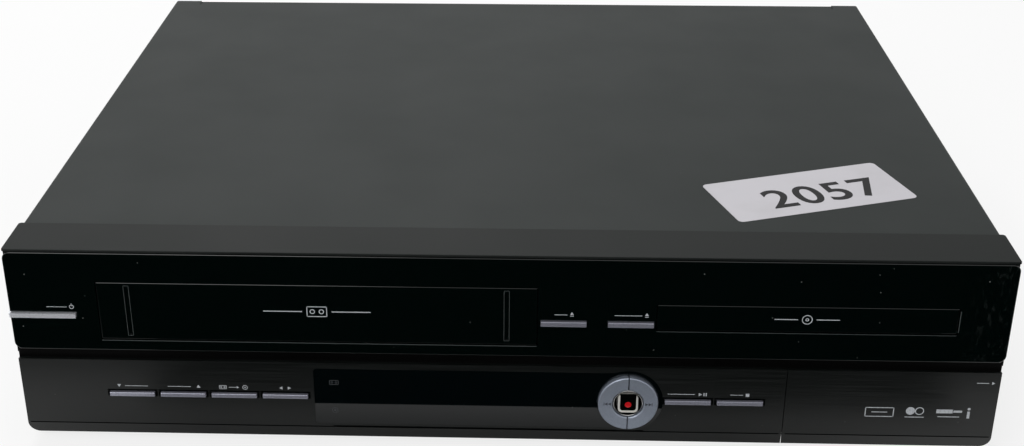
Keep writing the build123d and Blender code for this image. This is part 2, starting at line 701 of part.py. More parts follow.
def door_ears():
    """Ears behind the wall that hold the cassette door's pivots."""
    ears = []
    for x, inward in ((DOOR_X[0] - DOOR_GAP, -1), (DOOR_X[1] + DOOR_GAP, 1)):
        x0, x1 = span(x, x + inward * 2.0)
        ear = block(x0, x1, WALL_BACK - 0.5, WALL_BACK + 2.0, DOOR_AXIS_Z - 2.5, DOOR_AXIS_Z + 6.0)
        ear += block(x0, x1, FASCIA_BACK, WALL_BACK, DOOR_AXIS_Z - 2.5, DOOR_AXIS_Z + 6.0)
        ears.append(ear)
    return ears


def with_ring(body):
    """The wall with the ring's two slots, and the dish that two bridges hold inside them."""
    y0, y1 = FASCIA_BACK - 1, WALL_BACK + 1
    slots = tube_y(RING_X, y0, y1, RING_Z, 2 * (RING_R + KEY_GAP), 2 * DISH_R)
    slots -= block(RING_X - BRIDGE_W / 2, RING_X + BRIDGE_W / 2, y0 - 1, y1 + 1, 0, HEIGHT)
    front = FRONT_Y - DISH_PROUD
    body = body - slots + pin_y(RING_X, front, WALL_BACK, RING_Z, 2 * DISH_R)
    body -= pin_y(RING_X, front - 1, FASCIA_BACK - 0.2, RING_Z, 2 * DISH_BOWL_R)
    half = RECORD_SIDE / 2 + KEY_GAP
    return body - plate_y(
        RING_X - half, RING_X + half, front - 1, y1, RING_Z - half, RING_Z + half, RECORD_CORNER
    )


def upper_fascia():
    """The glossy plate round the door, the tray and the upper keys."""
    plate = plate_y(-HALF, HALF, FRONT_Y, FASCIA_BACK, FASCIA_BOTTOM, FASCIA_TOP, FASCIA_CORNER)
    plate = fillet(plate.faces().sort_by(Axis.Y)[0].edges(), FASCIA_EDGE)
    y0, y1 = FRONT_Y - 1, FASCIA_BACK + 1
    plate -= key_slots(y0, y1)
    plate -= door_hole(y0, y1, 0)
    return plate - tray_hole(y0, y1)


def lower_fascia():
    """The satin plate under the recess line, bevelled along its bottom."""
    x0, x1 = -LOWER_HALF, FLAP_SEAM
    plate = lower_plate(x0, x1, FASCIA_BACK)
    corner = [e for e in plate.edges().filter_by(Axis.Y) if e.center().X < x0 + 1 and e.center().Z < BEVEL_Z]
    plate = fillet(corner, LOWER_CORNER)
    y0, y1 = FRONT_Y - 1, FASCIA_BACK + 1
    plate -= key_slots(y0, y1)
    return plate - window_shape(y0, y1, 0.1)


def lower_plate(x0, x1, back):
    """A plate with the lower fascia's section: flat, then sloping back under the bevel line."""
    profile = Polyline(
        (LOWER_FACE, BEVEL_Z), (LOWER_FACE, LOWER_TOP), (back, LOWER_TOP),
        (back, FOOT_H), (LOWER_FACE + BEVEL_SET, FOOT_H), (LOWER_FACE, BEVEL_Z),
    )
    return Pos(x1, 0, 0) * extrude(Plane.YZ * make_face(profile), -(x1 - x0))


def display_window():
    """The smoked window, cut out round the ring."""
    y0, y1 = LOWER_FACE - 0.1, FASCIA_BACK
    return window_shape(y0, y1, 0) - pin_y(RING_X, y0 - 1, y1 + 1, RING_Z, 2 * (RING_R + KEY_GAP))


def feet():
    """Four round feet."""
    return [post(x, y, 0, FOOT_H, FOOT_D) for x, y in FOOT_PLACES]


def screw_x(side, y, z):
    """A screw through one side of the cover."""
    face = side * COVER_HALF
    head = pin_x(*span(face, face + side * SCREW_HEAD_T), y, z, SCREW_HEAD_D)
    return head + pin_x(*span(face - side * (SCREW_LENGTH - 1), face), y, z, SCREW_SHANK_D)


def case_screws():
    """The screws in both sides and along the back."""
    face = REAR_FACE + STEEL
    screws = [screw_x(side, y, z) for side in (-1, 1) for y, z in SIDE_SCREWS]
    for x, z in REAR_SCREWS:
        shank = pin_y(x, face - SCREW_LENGTH, face, z, SCREW_SHANK_D)
        screws.append(pin_y(x, face, face + SCREW_HEAD_T, z, SCREW_HEAD_D) + shank)
    return screws


def stock_label():
    """The paper label on the cover."""
    outline = RectangleRounded(LABEL_SIZE[0], LABEL_SIZE[1], LABEL_CORNER)
    return Pos(LABEL_X, LABEL_Y, COVER_TOP) * Rot(0, 0, LABEL_TURN) * extrude(outline, LABEL_T)


# Keys

def bar_key(x0, x1, z0, height, face):
    """A bar that shows at the front, its flange behind the wall and its stem to the switch."""
    mid_x, mid_z = (x0 + x1) / 2, z0 + height / 2
    bar = block(x0, x1, face, FLANGE_FRONT, z0, z0 + height)
    bar = fillet(bar.faces().sort_by(Axis.Y)[0].edges(), KEY_EDGE)
    lip = KEY_FLANGE_LIP
    flange = block(x0 + 1, x1 - 1, FLANGE_FRONT, FLANGE_BACK, z0 - lip, z0 + height + lip)
    return bar + flange + pin_y(mid_x, FLANGE_BACK, STEM_END, mid_z, STEM_D)


def standby_key():
    """The bar that wraps the left front corner."""
    z0, z1 = STANDBY_Z, STANDBY_Z + STANDBY_H
    left = -HALF - STANDBY_OUT
    face = FRONT_Y - KEY_PROUD
    bar = block(left, STANDBY_RIGHT, face, FLANGE_FRONT, z0, z1)
    bar = fillet(bar.edges().filter_by(Axis.Z).group_by(Axis.X)[0].sort_by(Axis.Y)[:1], STANDBY_CORNER)
    lip = KEY_FLANGE_LIP
    flange = block(-HALF + CHEEK_T + 1, STANDBY_RIGHT - 1, FLANGE_FRONT, FLANGE_BACK, z0 - lip, z1 + lip)
    x, z = SWITCH_PLACES[-1]
    return bar + flange + pin_y(x, FLANGE_BACK, STEM_END, z, STEM_D)


def half_ring_key(side):
    """One half of the ring, on the left (-1) or the right (+1)."""
    face = FRONT_Y - RING_PROUD
    seat = FASCIA_BACK - KEY_TRAVEL - 0.2
    ring = tube_y(RING_X, face, FLANGE_FRONT, RING_Z, 2 * RING_R, 2 * RING_HOLE_R)
    ring = chamfer(ring.faces().sort_by(Axis.Y)[0].edges(), RING_EDGE)
    x0, x1 = span(RING_X + side * RING_SPLIT / 2, RING_X + side * 2 * RING_R)
    ring = ring & block(x0, x1, face - 1, FLANGE_FRONT + 1, 0, HEIGHT)
    clear = BRIDGE_W / 2 + KEY_GAP
    x0, x1 = span(RING_X, RING_X + side * clear)
    ring -= block(x0, x1, seat, FLANGE_FRONT + 1, 0, HEIGHT)
    flange_r = RING_R + KEY_FLANGE_LIP
    flange = tube_y(RING_X, FLANGE_FRONT, FLANGE_BACK, RING_Z, 2 * flange_r, 2 * RING_HOLE_R)
    x0, x1 = span(RING_X + side * clear, RING_X + side * 2 * RING_R)
    flange = flange & block(x0, x1, FLANGE_FRONT - 1, FLANGE_BACK + 1, 0, HEIGHT)
    return ring + flange + pin_y(RING_X + side * RING_STEM, FLANGE_BACK, STEM_END, RING_Z, STEM_D)


def record_key():
    """The square key in the dish, with a round flange behind the wall."""
    half = RECORD_SIDE / 2
    face = FRONT_Y - RING_PROUD
    key = plate_y(RING_X - half, RING_X + half, face, FLANGE_FRONT, RING_Z - half, RING_Z + half, RECORD_CORNER)
    key = fillet(key.faces().sort_by(Axis.Y)[0].edges(), FASCIA_EDGE)
    key += pin_y(RING_X, FLANGE_FRONT, FLANGE_BACK, RING_Z, 2 * RECORD_FLANGE_R)
    return key + pin_y(RING_X, FLANGE_BACK, STEM_END, RING_Z, STEM_D)


# Doors

def cassette_door():
    """The door that the cassette pushes in; it hangs from pivots at its top."""
    x0, x1 = DOOR_X
    door = block(x0, x1, DOOR_FACE, DOOR_FACE + DOOR_T, DOOR_Z[0], DOOR_Z[1])
    door = fillet(door.faces().sort_by(Axis.Y)[0].edges(), DOOR_EDGE)
    w = DOOR_GROOVE_W
    for x in DOOR_GROOVE_X:
        z0, z1 = DOOR_GROOVE_Z
        door -= plate_y(x - w / 2, x + w / 2, DOOR_FACE - 1, DOOR_FACE + DOOR_GROOVE_DEPTH, z0, z1, w / 2 - 0.01)
    for x, inward in ((x0, 1), (x1, -1)):
        a, b = span(x, x + inward * 4.0)
        door += block(a, b, DOOR_FACE + DOOR_T, DOOR_AXIS_Y + 1.2, DOOR_AXIS_Z - 1.2, DOOR_AXIS_Z + 0.8)
        a, b = span(x + inward * 2.0, x - inward * 2.0)
        door += pin_x(a, b, DOOR_AXIS_Y, DOOR_AXIS_Z, PIVOT_D)
    return door


def av_door():
    """The flap over the front sockets; it turns down on pivots near its lower edge."""
    x0, x1 = FLAP_X
    back = LOWER_FACE + FLAP_T
    door = lower_plate(x0, x1, back)
    corner = [e for e in door.edges().filter_by(Axis.Y) if e.center().X > x1 - 1 and e.center().Z < BEVEL_Z]
    door = fillet(corner, LOWER_CORNER)
    for x in FLAP_LUGS:
        inward = 1 if x == FLAP_LUGS[0] else -1
        z = FLAP_AXIS_Z
        door += block(x - LUG_W / 2, x + LUG_W / 2, back - 0.2, FLAP_AXIS_Y + 1.5, z - 1.5, z + 1.5)
        a, b = span(x, x + inward * (LUG_W / 2 + FLAT_GAP + 2.0))
        door += pin_x(a, b, FLAP_AXIS_Y, z, PIVOT_D)
    return door


# Front electronics

def front_board():
    """The long board behind the lower keys and the display."""
    return block(*FRONT_BOARD_X, FRONT_BOARD_Y, FRONT_BOARD_Y + BOARD_T, *FRONT_BOARD_Z)


def key_boards():
    """The two small boards behind the upper keys and the standby bar."""
    y0, y1 = FRONT_BOARD_Y, FRONT_BOARD_Y + BOARD_T
    keys = block(EJECT_X[0] + KEY_BOARD_IN[0], OPEN_X[1] - KEY_BOARD_IN[1], y0, y1, *KEY_BOARD_Z)
    return [keys, block(-HALF + STANDBY_BOARD_IN[0], -HALF + STANDBY_BOARD_IN[1], y0, y1, *STANDBY_BOARD_Z)]


def key_switches():
    """Twelve like push switches."""
    switches = []
    for x, z in SWITCH_PLACES:
        body = box_round(x, z, (SWITCH_SIDE, SWITCH_SIDE), SWITCH_FACE, FRONT_BOARD_Y)
        switches.append(body + pin_y(x, SWITCH_FACE - PLUNGER_H, SWITCH_FACE, z, PLUNGER_D))
    return switches


def display_tube():
    """The flat display tube between the window and the front board."""
    return block(VIEW_LEFT + 4, VIEW_RIGHT - 4, WALL_BACK + 0.4, FRONT_BOARD_Y, VIEW_BOTTOM + 1, VIEW_TOP - 1)


def front_av_jacks():
    """Round sockets behind the flap: a collar with a hole on a square body each."""
    back = RECESS_BACK_Y + RECESS_WALL
    return [
        tube_y(x, RECESS_BACK_Y - SOCKET_PROUD, back, z, JACK_D, JACK_HOLE_D)
        + box_round(x, z, SOCKET_BODY, back, back + SOCKET_DEPTH)
        for x, z in socket_places()
    ]


def usb_socket():
    """A flat metal shell with a tongue in it."""
    x, z = USB_PLACE
    y0 = RECESS_BACK_Y - 1.0
    y1 = y0 + USB_DEPTH
    shell = box_round(x, z, USB_SIZE, y0, y1) - box_round(x, z, USB_SIZE, y0 - 1, y1 - 2, -USB_WALL)
    return shell + block(x - 5.0, x + 5.0, y0 + 1.5, y1 - 1.5, z + 1.2, z + 2.0)


# Disc drive

def loader_frame():
    """The drive's open frame: side walls with ledges that guide the tray."""
    x0, x1 = LOADER_X - LOADER_HALF, LOADER_X + LOADER_HALF
    t = LOADER_WALL
    frame = block(x0, x1, LOADER_FRONT, LOADER_BACK, LOADER_FLOOR, LOADER_FLOOR + t)
    opening = TRAVERSE_HALF + 4
    frame -= block(
        LOADER_X - opening, LOADER_X + opening, TRAVERSE_FRONT - 4, TRAVERSE_AXIS_Y + 8,
        LOADER_FLOOR - 1, LOADER_FLOOR + t + 1,
    )
    ledge_in = LOADER_HALF - (BODY_HALF - 3.0)
    for side in (-1, 1):
        wall = span(LOADER_X + side * LOADER_HALF, LOADER_X + side * (LOADER_HALF - t))
        frame += block(wall[0], wall[1], LOADER_FRONT, LOADER_BACK, LOADER_FLOOR, LOADER_TOP)
        ledge = span(LOADER_X + side * LOADER_HALF, LOADER_X + side * (LOADER_HALF - ledge_in))
        for z in (TRAY_BOTTOM - FLAT_GAP - LEDGE_T, TRAY_TOP + FLAT_GAP):
            frame += block(ledge[0], ledge[1], LOADER_FRONT, EAR_BACK + 2, z, z + LEDGE_T)
    frame += block(x0, x1, LOADER_BACK - t, LOADER_BACK, LOADER_FLOOR, LOADER_TOP)
    frame += [post(x, y, FLOOR_TOP, LOADER_FLOOR, LEG_D) for x, y in LOADER_LEGS]
    frame += post(GEAR_X, GEAR_Y, LOADER_FLOOR + t, GEAR_BOTTOM - FLAT_GAP, 7.0)
    frame += post(GEAR_X, GEAR_Y, LOADER_FLOOR + t, TRAY_BOTTOM + 2.6, 3.0)
    return frame + traverse_ears()


def traverse_ears():
    """Two ears with the bores that the traverse tilts in."""
    ears = []
    for side in (-1, 1):
        a = LOADER_X + side * (TRAVERSE_HALF + FLAT_GAP)
        x0, x1 = span(a, a + side * 4.0)
        y, z = TRAVERSE_AXIS_Y, TRAVERSE_Z + TRAVERSE_T / 2
        ear = block(x0, x1, y - 4, y + 4, LOADER_FLOOR, z + 4)
        foot = span(a + side * 3.0, a + side * 7.0)
        ear += block(foot[0], foot[1], y - 4, y + 4, LOADER_FLOOR, LOADER_FLOOR + LOADER_WALL)
        ears.append(ear - pin_x(x0 - 1, x1 + 1, y, z, 3.0 + 2 * RUNNING))
    return ears


def disc_tray():
    """The drawer with its disc wells, open to the back over the traverse."""
    x0, x1 = LOADER_X - BODY_HALF, LOADER_X + BODY_HALF
    tray = block(x0, x1, TRAY_BACK, TRAY_END, TRAY_BOTTOM, TRAY_TOP)
    tray += block(x0 - EAR_OUT, x1 + EAR_OUT, EAR_FRONT, EAR_BACK, TRAY_BOTTOM, TRAY_TOP)
    tray -= block(x0 + 6, x1 - 6, TRAY_END, EAR_BACK + 1, TRAY_BOTTOM - 1, TRAY_TOP + 1)
    tray -= post(LOADER_X, DISC_Y, TRAY_TOP - 2.2, TRAY_TOP + 1, 2 * DISC_R)
    tray -= post(LOADER_X, DISC_Y, TRAY_TOP - 4.2, TRAY_TOP + 1, 2 * SMALL_DISC_R)
    tray -= post(LOADER_X, DISC_Y, TRAY_BOTTOM - 1, TRAY_TOP + 1, 2 * SLOT_HALF)
    tray -= block(
        LOADER_X - SLOT_HALF, LOADER_X + SLOT_HALF, DISC_Y, EAR_BACK + 1, TRAY_BOTTOM - 1, TRAY_TOP + 1
    )
    rack_x = GEAR_X - GEAR_R
    pocket_top = GEAR_TOP + 0.5
    tray -= block(rack_x - 1.5, GEAR_X + GEAR_R + 1.8, GEAR_Y - 10, EAR_BACK + 1, TRAY_BOTTOM - 1, pocket_top)
    return tray + rack_teeth(rack_x, pocket_top)


def rack_teeth(pitch_x, top):
    """The rack along the tray's left side, its teeth facing the gear."""
    pitch = math.pi * GEAR_MODULE
    half_tip, half_root = 0.30, 0.95
    root_x = pitch_x - 1.2 * GEAR_MODULE
    tip_x = pitch_x + 0.9 * GEAR_MODULE
    count = int((TRAY_TRAVEL + 8 * GEAR_MODULE) / pitch) + 1
    rack = block(root_x - 0.5, root_x + 0.1, GEAR_Y - 10, TRAY_END, TRAY_BOTTOM, top)
    first = GEAR_Y - 2 * pitch + pitch / 2
    for i in range(count):
        y = first + i * pitch
        tooth = Polyline(
            (root_x, y - half_root), (tip_x, y - half_tip), (tip_x, y + half_tip),
            (root_x, y + half_root), (root_x, y - half_root),
        )
        rack += Pos(0, 0, TRAY_BOTTOM) * extrude(make_face(tooth), top - TRAY_BOTTOM)
    return rack


def tray_gear():
    """The gear that drives the rack."""
    m = GEAR_MODULE
    gear = post(GEAR_X, GEAR_Y, GEAR_BOTTOM, GEAR_TOP, 2 * (GEAR_R - 1.2 * m))
    root_r, tip_r = GEAR_R - 1.3 * m, GEAR_R + 0.9 * m
    half_root, half_tip = 0.85, 0.28
    height = GEAR_TOP - TRAY_BOTTOM
    tooth = Polyline(
        (root_r, -half_root), (tip_r, -half_tip), (tip_r, half_tip), (root_r, half_root), (root_r, -half_root)
    )
    tooth = extrude(make_face(tooth), height)
    for i in range(GEAR_TEETH):
        turn = 180 + 360 * i / GEAR_TEETH
        gear += Pos(GEAR_X, GEAR_Y, TRAY_BOTTOM) * Rot(0, 0, turn) * tooth
    return gear - post(GEAR_X, GEAR_Y, GEAR_BOTTOM - 1, GEAR_TOP + 1, 3.0 + 2 * RUNNING)


def tray_front():
    """The glossy front of the tray."""
    plate = block(*TRAY_X, TRAY_FACE, TRAY_BACK, *TRAY_Z)
    return fillet(plate.faces().sort_by(Axis.Y)[0].edges(), TRAY_EDGE)


def traverse_frame():
    """The tilting plate that carries the spindle, the two rods and the sled."""
    x0, x1 = LOADER_X - TRAVERSE_HALF, LOADER_X + TRAVERSE_HALF
    top = TRAVERSE_Z + TRAVERSE_T
    plate = block(x0, x1, TRAVERSE_FRONT, TRAVERSE_AXIS_Y + 4, TRAVERSE_Z, top)
    plate += post(LOADER_X, DISC_Y, top, 62.0, 18.0)
    for y0 in (ROD_FRONT, ROD_BACK - 3):
        for side in (-1, 1):
            x = LOADER_X + side * ROD_X
            plate += block(x - 3, x + 3, y0, y0 + 3, top, ROD_Z + 3)
        x = LOADER_X + SCREW_X
        bracket = block(x - 4, x + 4, y0, y0 + 3, top, ROD_Z + 4)
        plate += bracket - pin_y(x, y0 - 1, y0 + 4, ROD_Z, SCREW_D + 2 * RUNNING)
    for side in (-1, 1):
        plate += pin_y(LOADER_X + side * ROD_X, ROD_FRONT, ROD_BACK, ROD_Z, ROD_D)
        a, b = span(LOADER_X + side * (TRAVERSE_HALF - 4), LOADER_X + side * (TRAVERSE_HALF + 4))
        plate += pin_x(a, b, TRAVERSE_AXIS_Y, TRAVERSE_Z + TRAVERSE_T / 2, 3.0)
    return plate - post(LOADER_X, DISC_Y, TRAVERSE_Z - 1, 63.0, 3.0 + 2 * RUNNING)


def turntable():
    """The spindle's table with the cone that centres the disc."""
    hub = post(LOADER_X, DISC_Y, 62.3, 69.0, 14.0) + post(LOADER_X, DISC_Y, 67.0, 69.6, 30.0)
    cone = Pos(LOADER_X, DISC_Y, 69.6 + 1.4) * Cone(7.4, 5.5, 2.8)
    return hub + cone + post(LOADER_X, DISC_Y, TRAVERSE_Z + 0.5, 62.3, 3.0)


def laser_sled():
    """The sled with the lens, sliding on the two rods."""
    y0, y1 = SLED_FRONT, SLED_FRONT + SLED_LENGTH
    z0 = TRAVERSE_Z + TRAVERSE_T + 1
    sled = block(LOADER_X - ROD_X - 4, LOADER_X + ROD_X + 4, y0, y1, z0, 63.0)
    sled += block(LOADER_X + ROD_X + 4, LOADER_X + SCREW_X - SCREW_D / 2 - FLAT_GAP, y0 + 6, y1 - 6, 56.5, 60.5)
    sled += post(LOADER_X, (y0 + y1) / 2, 63.0, 64.6, 8.0)
    bores = [pin_y(LOADER_X + s * ROD_X, y0 - 1, y1 + 1, ROD_Z, ROD_D + 2 * RUNNING) for s in (-1, 1)]
    return sled - bores


def lead_screw():
    """The screw that moves the sled, with its gear."""
    x = LOADER_X + SCREW_X
    screw = pin_y(x, ROD_FRONT - 1, ROD_BACK + 3, ROD_Z, SCREW_D)
    grooves = [
        tube_y(x, ROD_FRONT + 6 + 3.0 * i, ROD_FRONT + 7 + 3.0 * i, ROD_Z, SCREW_D + 1, SCREW_D - 0.8)
        for i in range(24)
    ]
    return screw - grooves + pin_y(x, ROD_BACK + FLAT_GAP, ROD_BACK + 4, ROD_Z, 7.0)


def clamp_bridge():
    """The strip across the drive that holds the clamp."""
    x0, x1 = LOADER_X - LOADER_HALF, LOADER_X + LOADER_HALF
    bridge = block(x0, x1, DISC_Y - 18, DISC_Y + 18, LOADER_TOP, LOADER_TOP + BRIDGE_T)
    return bridge - post(LOADER_X, DISC_Y, LOADER_TOP - 1, LOADER_TOP + 2, 2 * (CLAMP_R + 0.8))


def disc_clamp():
    """The round clamp that turns with the disc."""
    top = LOADER_TOP + BRIDGE_T + 0.1
    return post(LOADER_X, DISC_Y, top, top + 2.0, 2 * CLAMP_R + 8) + post(
        LOADER_X, DISC_Y, TRAY_TOP + 2.5, top, 2 * CLAMP_R
    )


# Cassette deck

def vcr_chassis():
    """The deck plate on four legs, with side walls and the pins that the reels turn on."""
    half = HOLDER_HALF + HOLDER_T + 0.5
    x0, x1 = DECK_X - half - DECK_T, DECK_X + half + DECK_T
    deck = block(x0, x1, DECK_FRONT, DECK_BACK, DECK_Z, DECK_TOP)
    for a, b in ((x0, x0 + DECK_T), (x1 - DECK_T, x1)):
        deck += block(a, b, HOLDER_FRONT, DECK_WALL_BACK, DECK_Z, DECK_WALL_TOP)
    deck += [post(x, y, FLOOR_TOP, DECK_Z, DECK_LEG_D) for x, y in DECK_LEGS]
    deck += post(CAPSTAN_X, CAPSTAN_Y, DECK_TOP, DECK_TOP + CAPSTAN_BOSS_H, 10.0)
    deck -= post(
        CAPSTAN_X, CAPSTAN_Y, DECK_Z - 1, DECK_TOP + CAPSTAN_BOSS_H + 1, CAPSTAN_D + 2 * RUNNING
    )
    for side in (-1, 1):
        deck += post(DECK_X + side * REEL_PITCH / 2, REEL_Y, DECK_TOP, REEL_PIN_TOP, REEL_PIN_D)
    x, y = roller_pivot()
    return deck + post(x, y, DECK_TOP, 30.0, 4.0)


def drum_base():
    """The fixed lower drum, leaning on its pedestal."""
    lower = Pos(0, 0, (8 + DRUM_LOWER_TOP) / 2) * Cylinder(DRUM_R, DRUM_LOWER_TOP - 8)
    shaft_top = DRUM_LOWER_TOP + DRUM_UPPER_H - 2
    shaft = Pos(0, 0, (10 + shaft_top) / 2) * Cylinder(DRUM_SHAFT_R, shaft_top - 10)
    tilted = Pos(DECK_X, DRUM_Y, DECK_TOP) * Rot(DRUM_TILT, 0, 0) * (lower + shaft)
    return tilted + post(DECK_X, DRUM_Y, DECK_TOP, DECK_TOP + DRUM_FOOT_H, DRUM_FOOT_D)


def head_drum():
    """The upper drum that turns on the shaft."""
    z0 = DRUM_LOWER_TOP + FLAT_GAP
    upper = Pos(0, 0, z0 + DRUM_UPPER_H / 2) * Cylinder(DRUM_R, DRUM_UPPER_H)
    bore = Pos(0, 0, z0 + DRUM_UPPER_H / 2) * Cylinder(DRUM_SHAFT_R + RUNNING, DRUM_UPPER_H + 2)
    well = Pos(0, 0, z0 + DRUM_UPPER_H) * Cylinder(14.0, 6.0)
    return Pos(DECK_X, DRUM_Y, DECK_TOP) * Rot(DRUM_TILT, 0, 0) * (upper - bore - well)


def capstan():
    """The tape drive shaft with its flywheel under the deck."""
    wheel = post(CAPSTAN_X, CAPSTAN_Y, 12.0, 18.0, 2 * FLYWHEEL_R)
    hub = post(CAPSTAN_X, CAPSTAN_Y, 18.0, DECK_Z - FLAT_GAP, 12.0)
    return wheel + hub + post(CAPSTAN_X, CAPSTAN_Y, 12.0, 48.0, CAPSTAN_D)


def reel(side):
    """A reel table with its splined spindle, on its pin."""
    x, y = DECK_X + side * REEL_PITCH / 2, REEL_Y
    z0 = DECK_TOP + FLAT_GAP
    table = post(x, y, z0, z0 + 4, 2 * REEL_R) + post(x, y, z0 + 4, 42.0, 10.0)
    for i in range(3):
        spline = block(3.0, 7.0, -0.8, 0.8, z0 + 4, 40.0)
        table += Pos(x, y, 0) * Rot(0, 0, 120 * i) * spline
    return table - post(x, y, z0 - 1, REEL_PIN_TOP + FLAT_GAP, REEL_PIN_D + 2 * RUNNING)


def roller_pivot():
    """The pivot that lets the roller swing to the capstan shaft."""
    pressed = ROLLER_R + CAPSTAN_D / 2 + 0.4
    return CAPSTAN_X + pressed, CAPSTAN_Y - ROLLER_ARM


def pinch_roller():
    """The rubber roller on its swinging arm, shown away from the shaft."""
    arm = Pos(0, ROLLER_ARM / 2, 0) * Box(7, ROLLER_ARM, 3)
    arm += Cylinder(4.5, 3) + Pos(0, ROLLER_ARM, 0) * Cylinder(4.5, 3)
    arm -= Cylinder(2.0 + RUNNING, 5)
    arm += Pos(0, ROLLER_ARM, 9.5) * Cylinder(ROLLER_R, 16)
    x, y = roller_pivot()
    return Pos(x, y, DECK_TOP + 8 + FLAT_GAP + 1.5 - 4.5) * Rot(0, 0, -ROLLER_OPEN) * arm


def cassette_holder():
    """The cage that takes the cassette in and down: two channels under a top plate."""
    y0, y1 = HOLDER_FRONT + 1, HOLDER_FRONT + HOLDER_DEPTH
    outer = HOLDER_HALF + HOLDER_T
    cage = block(DECK_X - outer, DECK_X + outer, y0, y1, HOLDER_TOP - HOLDER_T, HOLDER_TOP)
    for side in (-1, 1):
        a, b = span(DECK_X + side * outer, DECK_X + side * HOLDER_HALF)
        cage += block(a, b, y0, y1, HOLDER_BOTTOM, HOLDER_TOP)
        a, b = span(DECK_X + side * outer, DECK_X + side * (HOLDER_HALF - HOLDER_LEDGE))
        cage += block(a, b, y0, y1, HOLDER_BOTTOM, HOLDER_BOTTOM + HOLDER_T)
    return cage + block(DECK_X - 40, DECK_X + 40, y1 - 1, y1, HOLDER_TOP - 4, HOLDER_TOP)


def tape_guides():
    """Four upright guide pins round the drum."""
    places = [(DECK_X - 42, 62.0), (DECK_X + 42, 72.0), (DECK_X - 60, 44.0), (DECK_X + 60, 58.0)]
    return [post(x, y, DECK_TOP, 50, 5.0) + post(x, y, DECK_TOP, DECK_TOP + 3, 9.0) for x, y in places]


# Rear electronics

def main_board():
    """The board under the rear sockets."""
    return block(*MAIN_X, *MAIN_Y, MAIN_Z, MAIN_TOP)


def power_board():
    """The mains supply's board."""
    return block(*POWER_X, *POWER_Y, POWER_Z, POWER_TOP)


def transformer():
    """A block core with its winding, seated on the power board."""
    length, depth, height = CORE_SIZE
    x0, y0 = CORE_X[0], POWER_Y[0] + CORE_AT[1]
    core = block(x0, x0 + length, y0, y0 + depth, POWER_TOP, POWER_TOP + height)
    return core + block(
        x0 + WINDING_IN, x0 + length - WINDING_IN, y0 - WINDING_OUT, y0 + depth + WINDING_OUT,
        POWER_TOP, POWER_TOP + WINDING_H,
    )


def filter_capacitors():
    """A row of upright capacitors."""
    x, y = POWER_X[0] + CAPACITOR_AT[0], POWER_Y[0] + CAPACITOR_AT[1]
    rows = [y + CAPACITOR_PITCH * i for i in range(CAPACITOR_COUNT)]
    return [post(x, row, POWER_TOP, POWER_TOP + CAPACITOR_H, CAPACITOR_D) for row in rows]


def heat_sink():
    """A back plate with as many fins as fit between the transformer and the board's end."""
    x0, x1 = CORE_X[1] + SINK_IN, POWER_X[1] - SINK_IN
    y0 = POWER_Y[0] + SINK_FRONT
    back = y0 + SINK_BACK_T
    top = POWER_TOP + SINK_H
    fins = int((x1 - x0 - FIN_T) / FIN_PITCH + 0.01) + 1
    return block(x0, x1, y0, back, POWER_TOP, top) + [
        block(x0 + FIN_PITCH * i, x0 + FIN_PITCH * i + FIN_T, back, back + FIN_LENGTH, POWER_TOP + FIN_LIFT, top)
        for i in range(fins)
    ]


def mains_inlet():
    """A two-pin inlet with rounded ends, open to the back."""
    y0, y1 = REAR_Y - INLET_BODY, REAR_Y + INLET_OUT
    body = box_round(INLET_X, INLET_Z, INLET_SIZE, y0, y1)
    half, low = INLET_SIZE[0] / 2, INLET_Z - INLET_SIZE[1] / 2
    body += block(INLET_X - half, INLET_X + half, y0, y0 + INLET_HOLE_DEPTH + 1, POWER_TOP, low)
    half_x, half_z = INLET_HOLE[0] / 2, INLET_HOLE[1] / 2
    floor = y1 - INLET_HOLE_DEPTH
    body -= plate_y(
        INLET_X - half_x, INLET_X + half_x, floor, y1 + 1, INLET_Z - half_z, INLET_Z + half_z, half_z - 0.1
    )
    return body + [
        pin_y(INLET_X + x, floor - 1, y1 - 3, INLET_Z, INLET_PIN_D) for x in (-INLET_PIN_X, INLET_PIN_X)
    ]


def scart_sockets():
    """Two long sockets, one beside the other."""
    sockets = []
    y0, y1 = REAR_Y - SCART_BODY, REAR_Y + SCART_OUT
    half = SCART_SIZE[0] / 2 - SCART_OUT
    for x in SCARTS:
        body = box_round(x, SCART_Z, SCART_SIZE, y0, y1)
        body -= box_round(x, SCART_Z, SCART_HOLE, y1 - SCART_HOLE_DEPTH, y1 + 1)
        body += block(x - half, x + half, y0, y1 - SCART_HOLE_DEPTH, MAIN_TOP, SCART_Z)
        sockets.append(body)
    return sockets


def rear_jacks():
    """Round sockets in two rows, on one block for each pair."""
    jacks = []
    for x in JACK_X:
        half = JACK_BLOCK_HALF
        body = block(x - half, x + half, REAR_FACE - JACK_BLOCK_DEPTH, REAR_FACE, MAIN_TOP, JACK_BLOCK_TOP)
        for z in JACK_Z:
            body += pin_y(x, REAR_FACE, REAR_Y + JACK_OUT, z, JACK_D)
            body -= pin_y(x, REAR_Y - 4, REAR_Y + JACK_OUT + 1, z, JACK_HOLE_D)
        jacks.append(body)
    return jacks


def tuner_module():
    """A metal can that fills the room behind the deck, with two aerial sockets."""
    can = block(*TUNER_X, DECK_BACK + TUNER_BEHIND, REAR_FACE, MAIN_TOP, TUNER_TOP)
    for x, z in RF_PLACES:
        can += pin_y(x, REAR_FACE, REAR_Y + JACK_OUT, z, JACK_D)
        can -= pin_y(x, REAR_Y - 2, REAR_Y + JACK_OUT + 1, z, RF_HOLE_D)
    return can


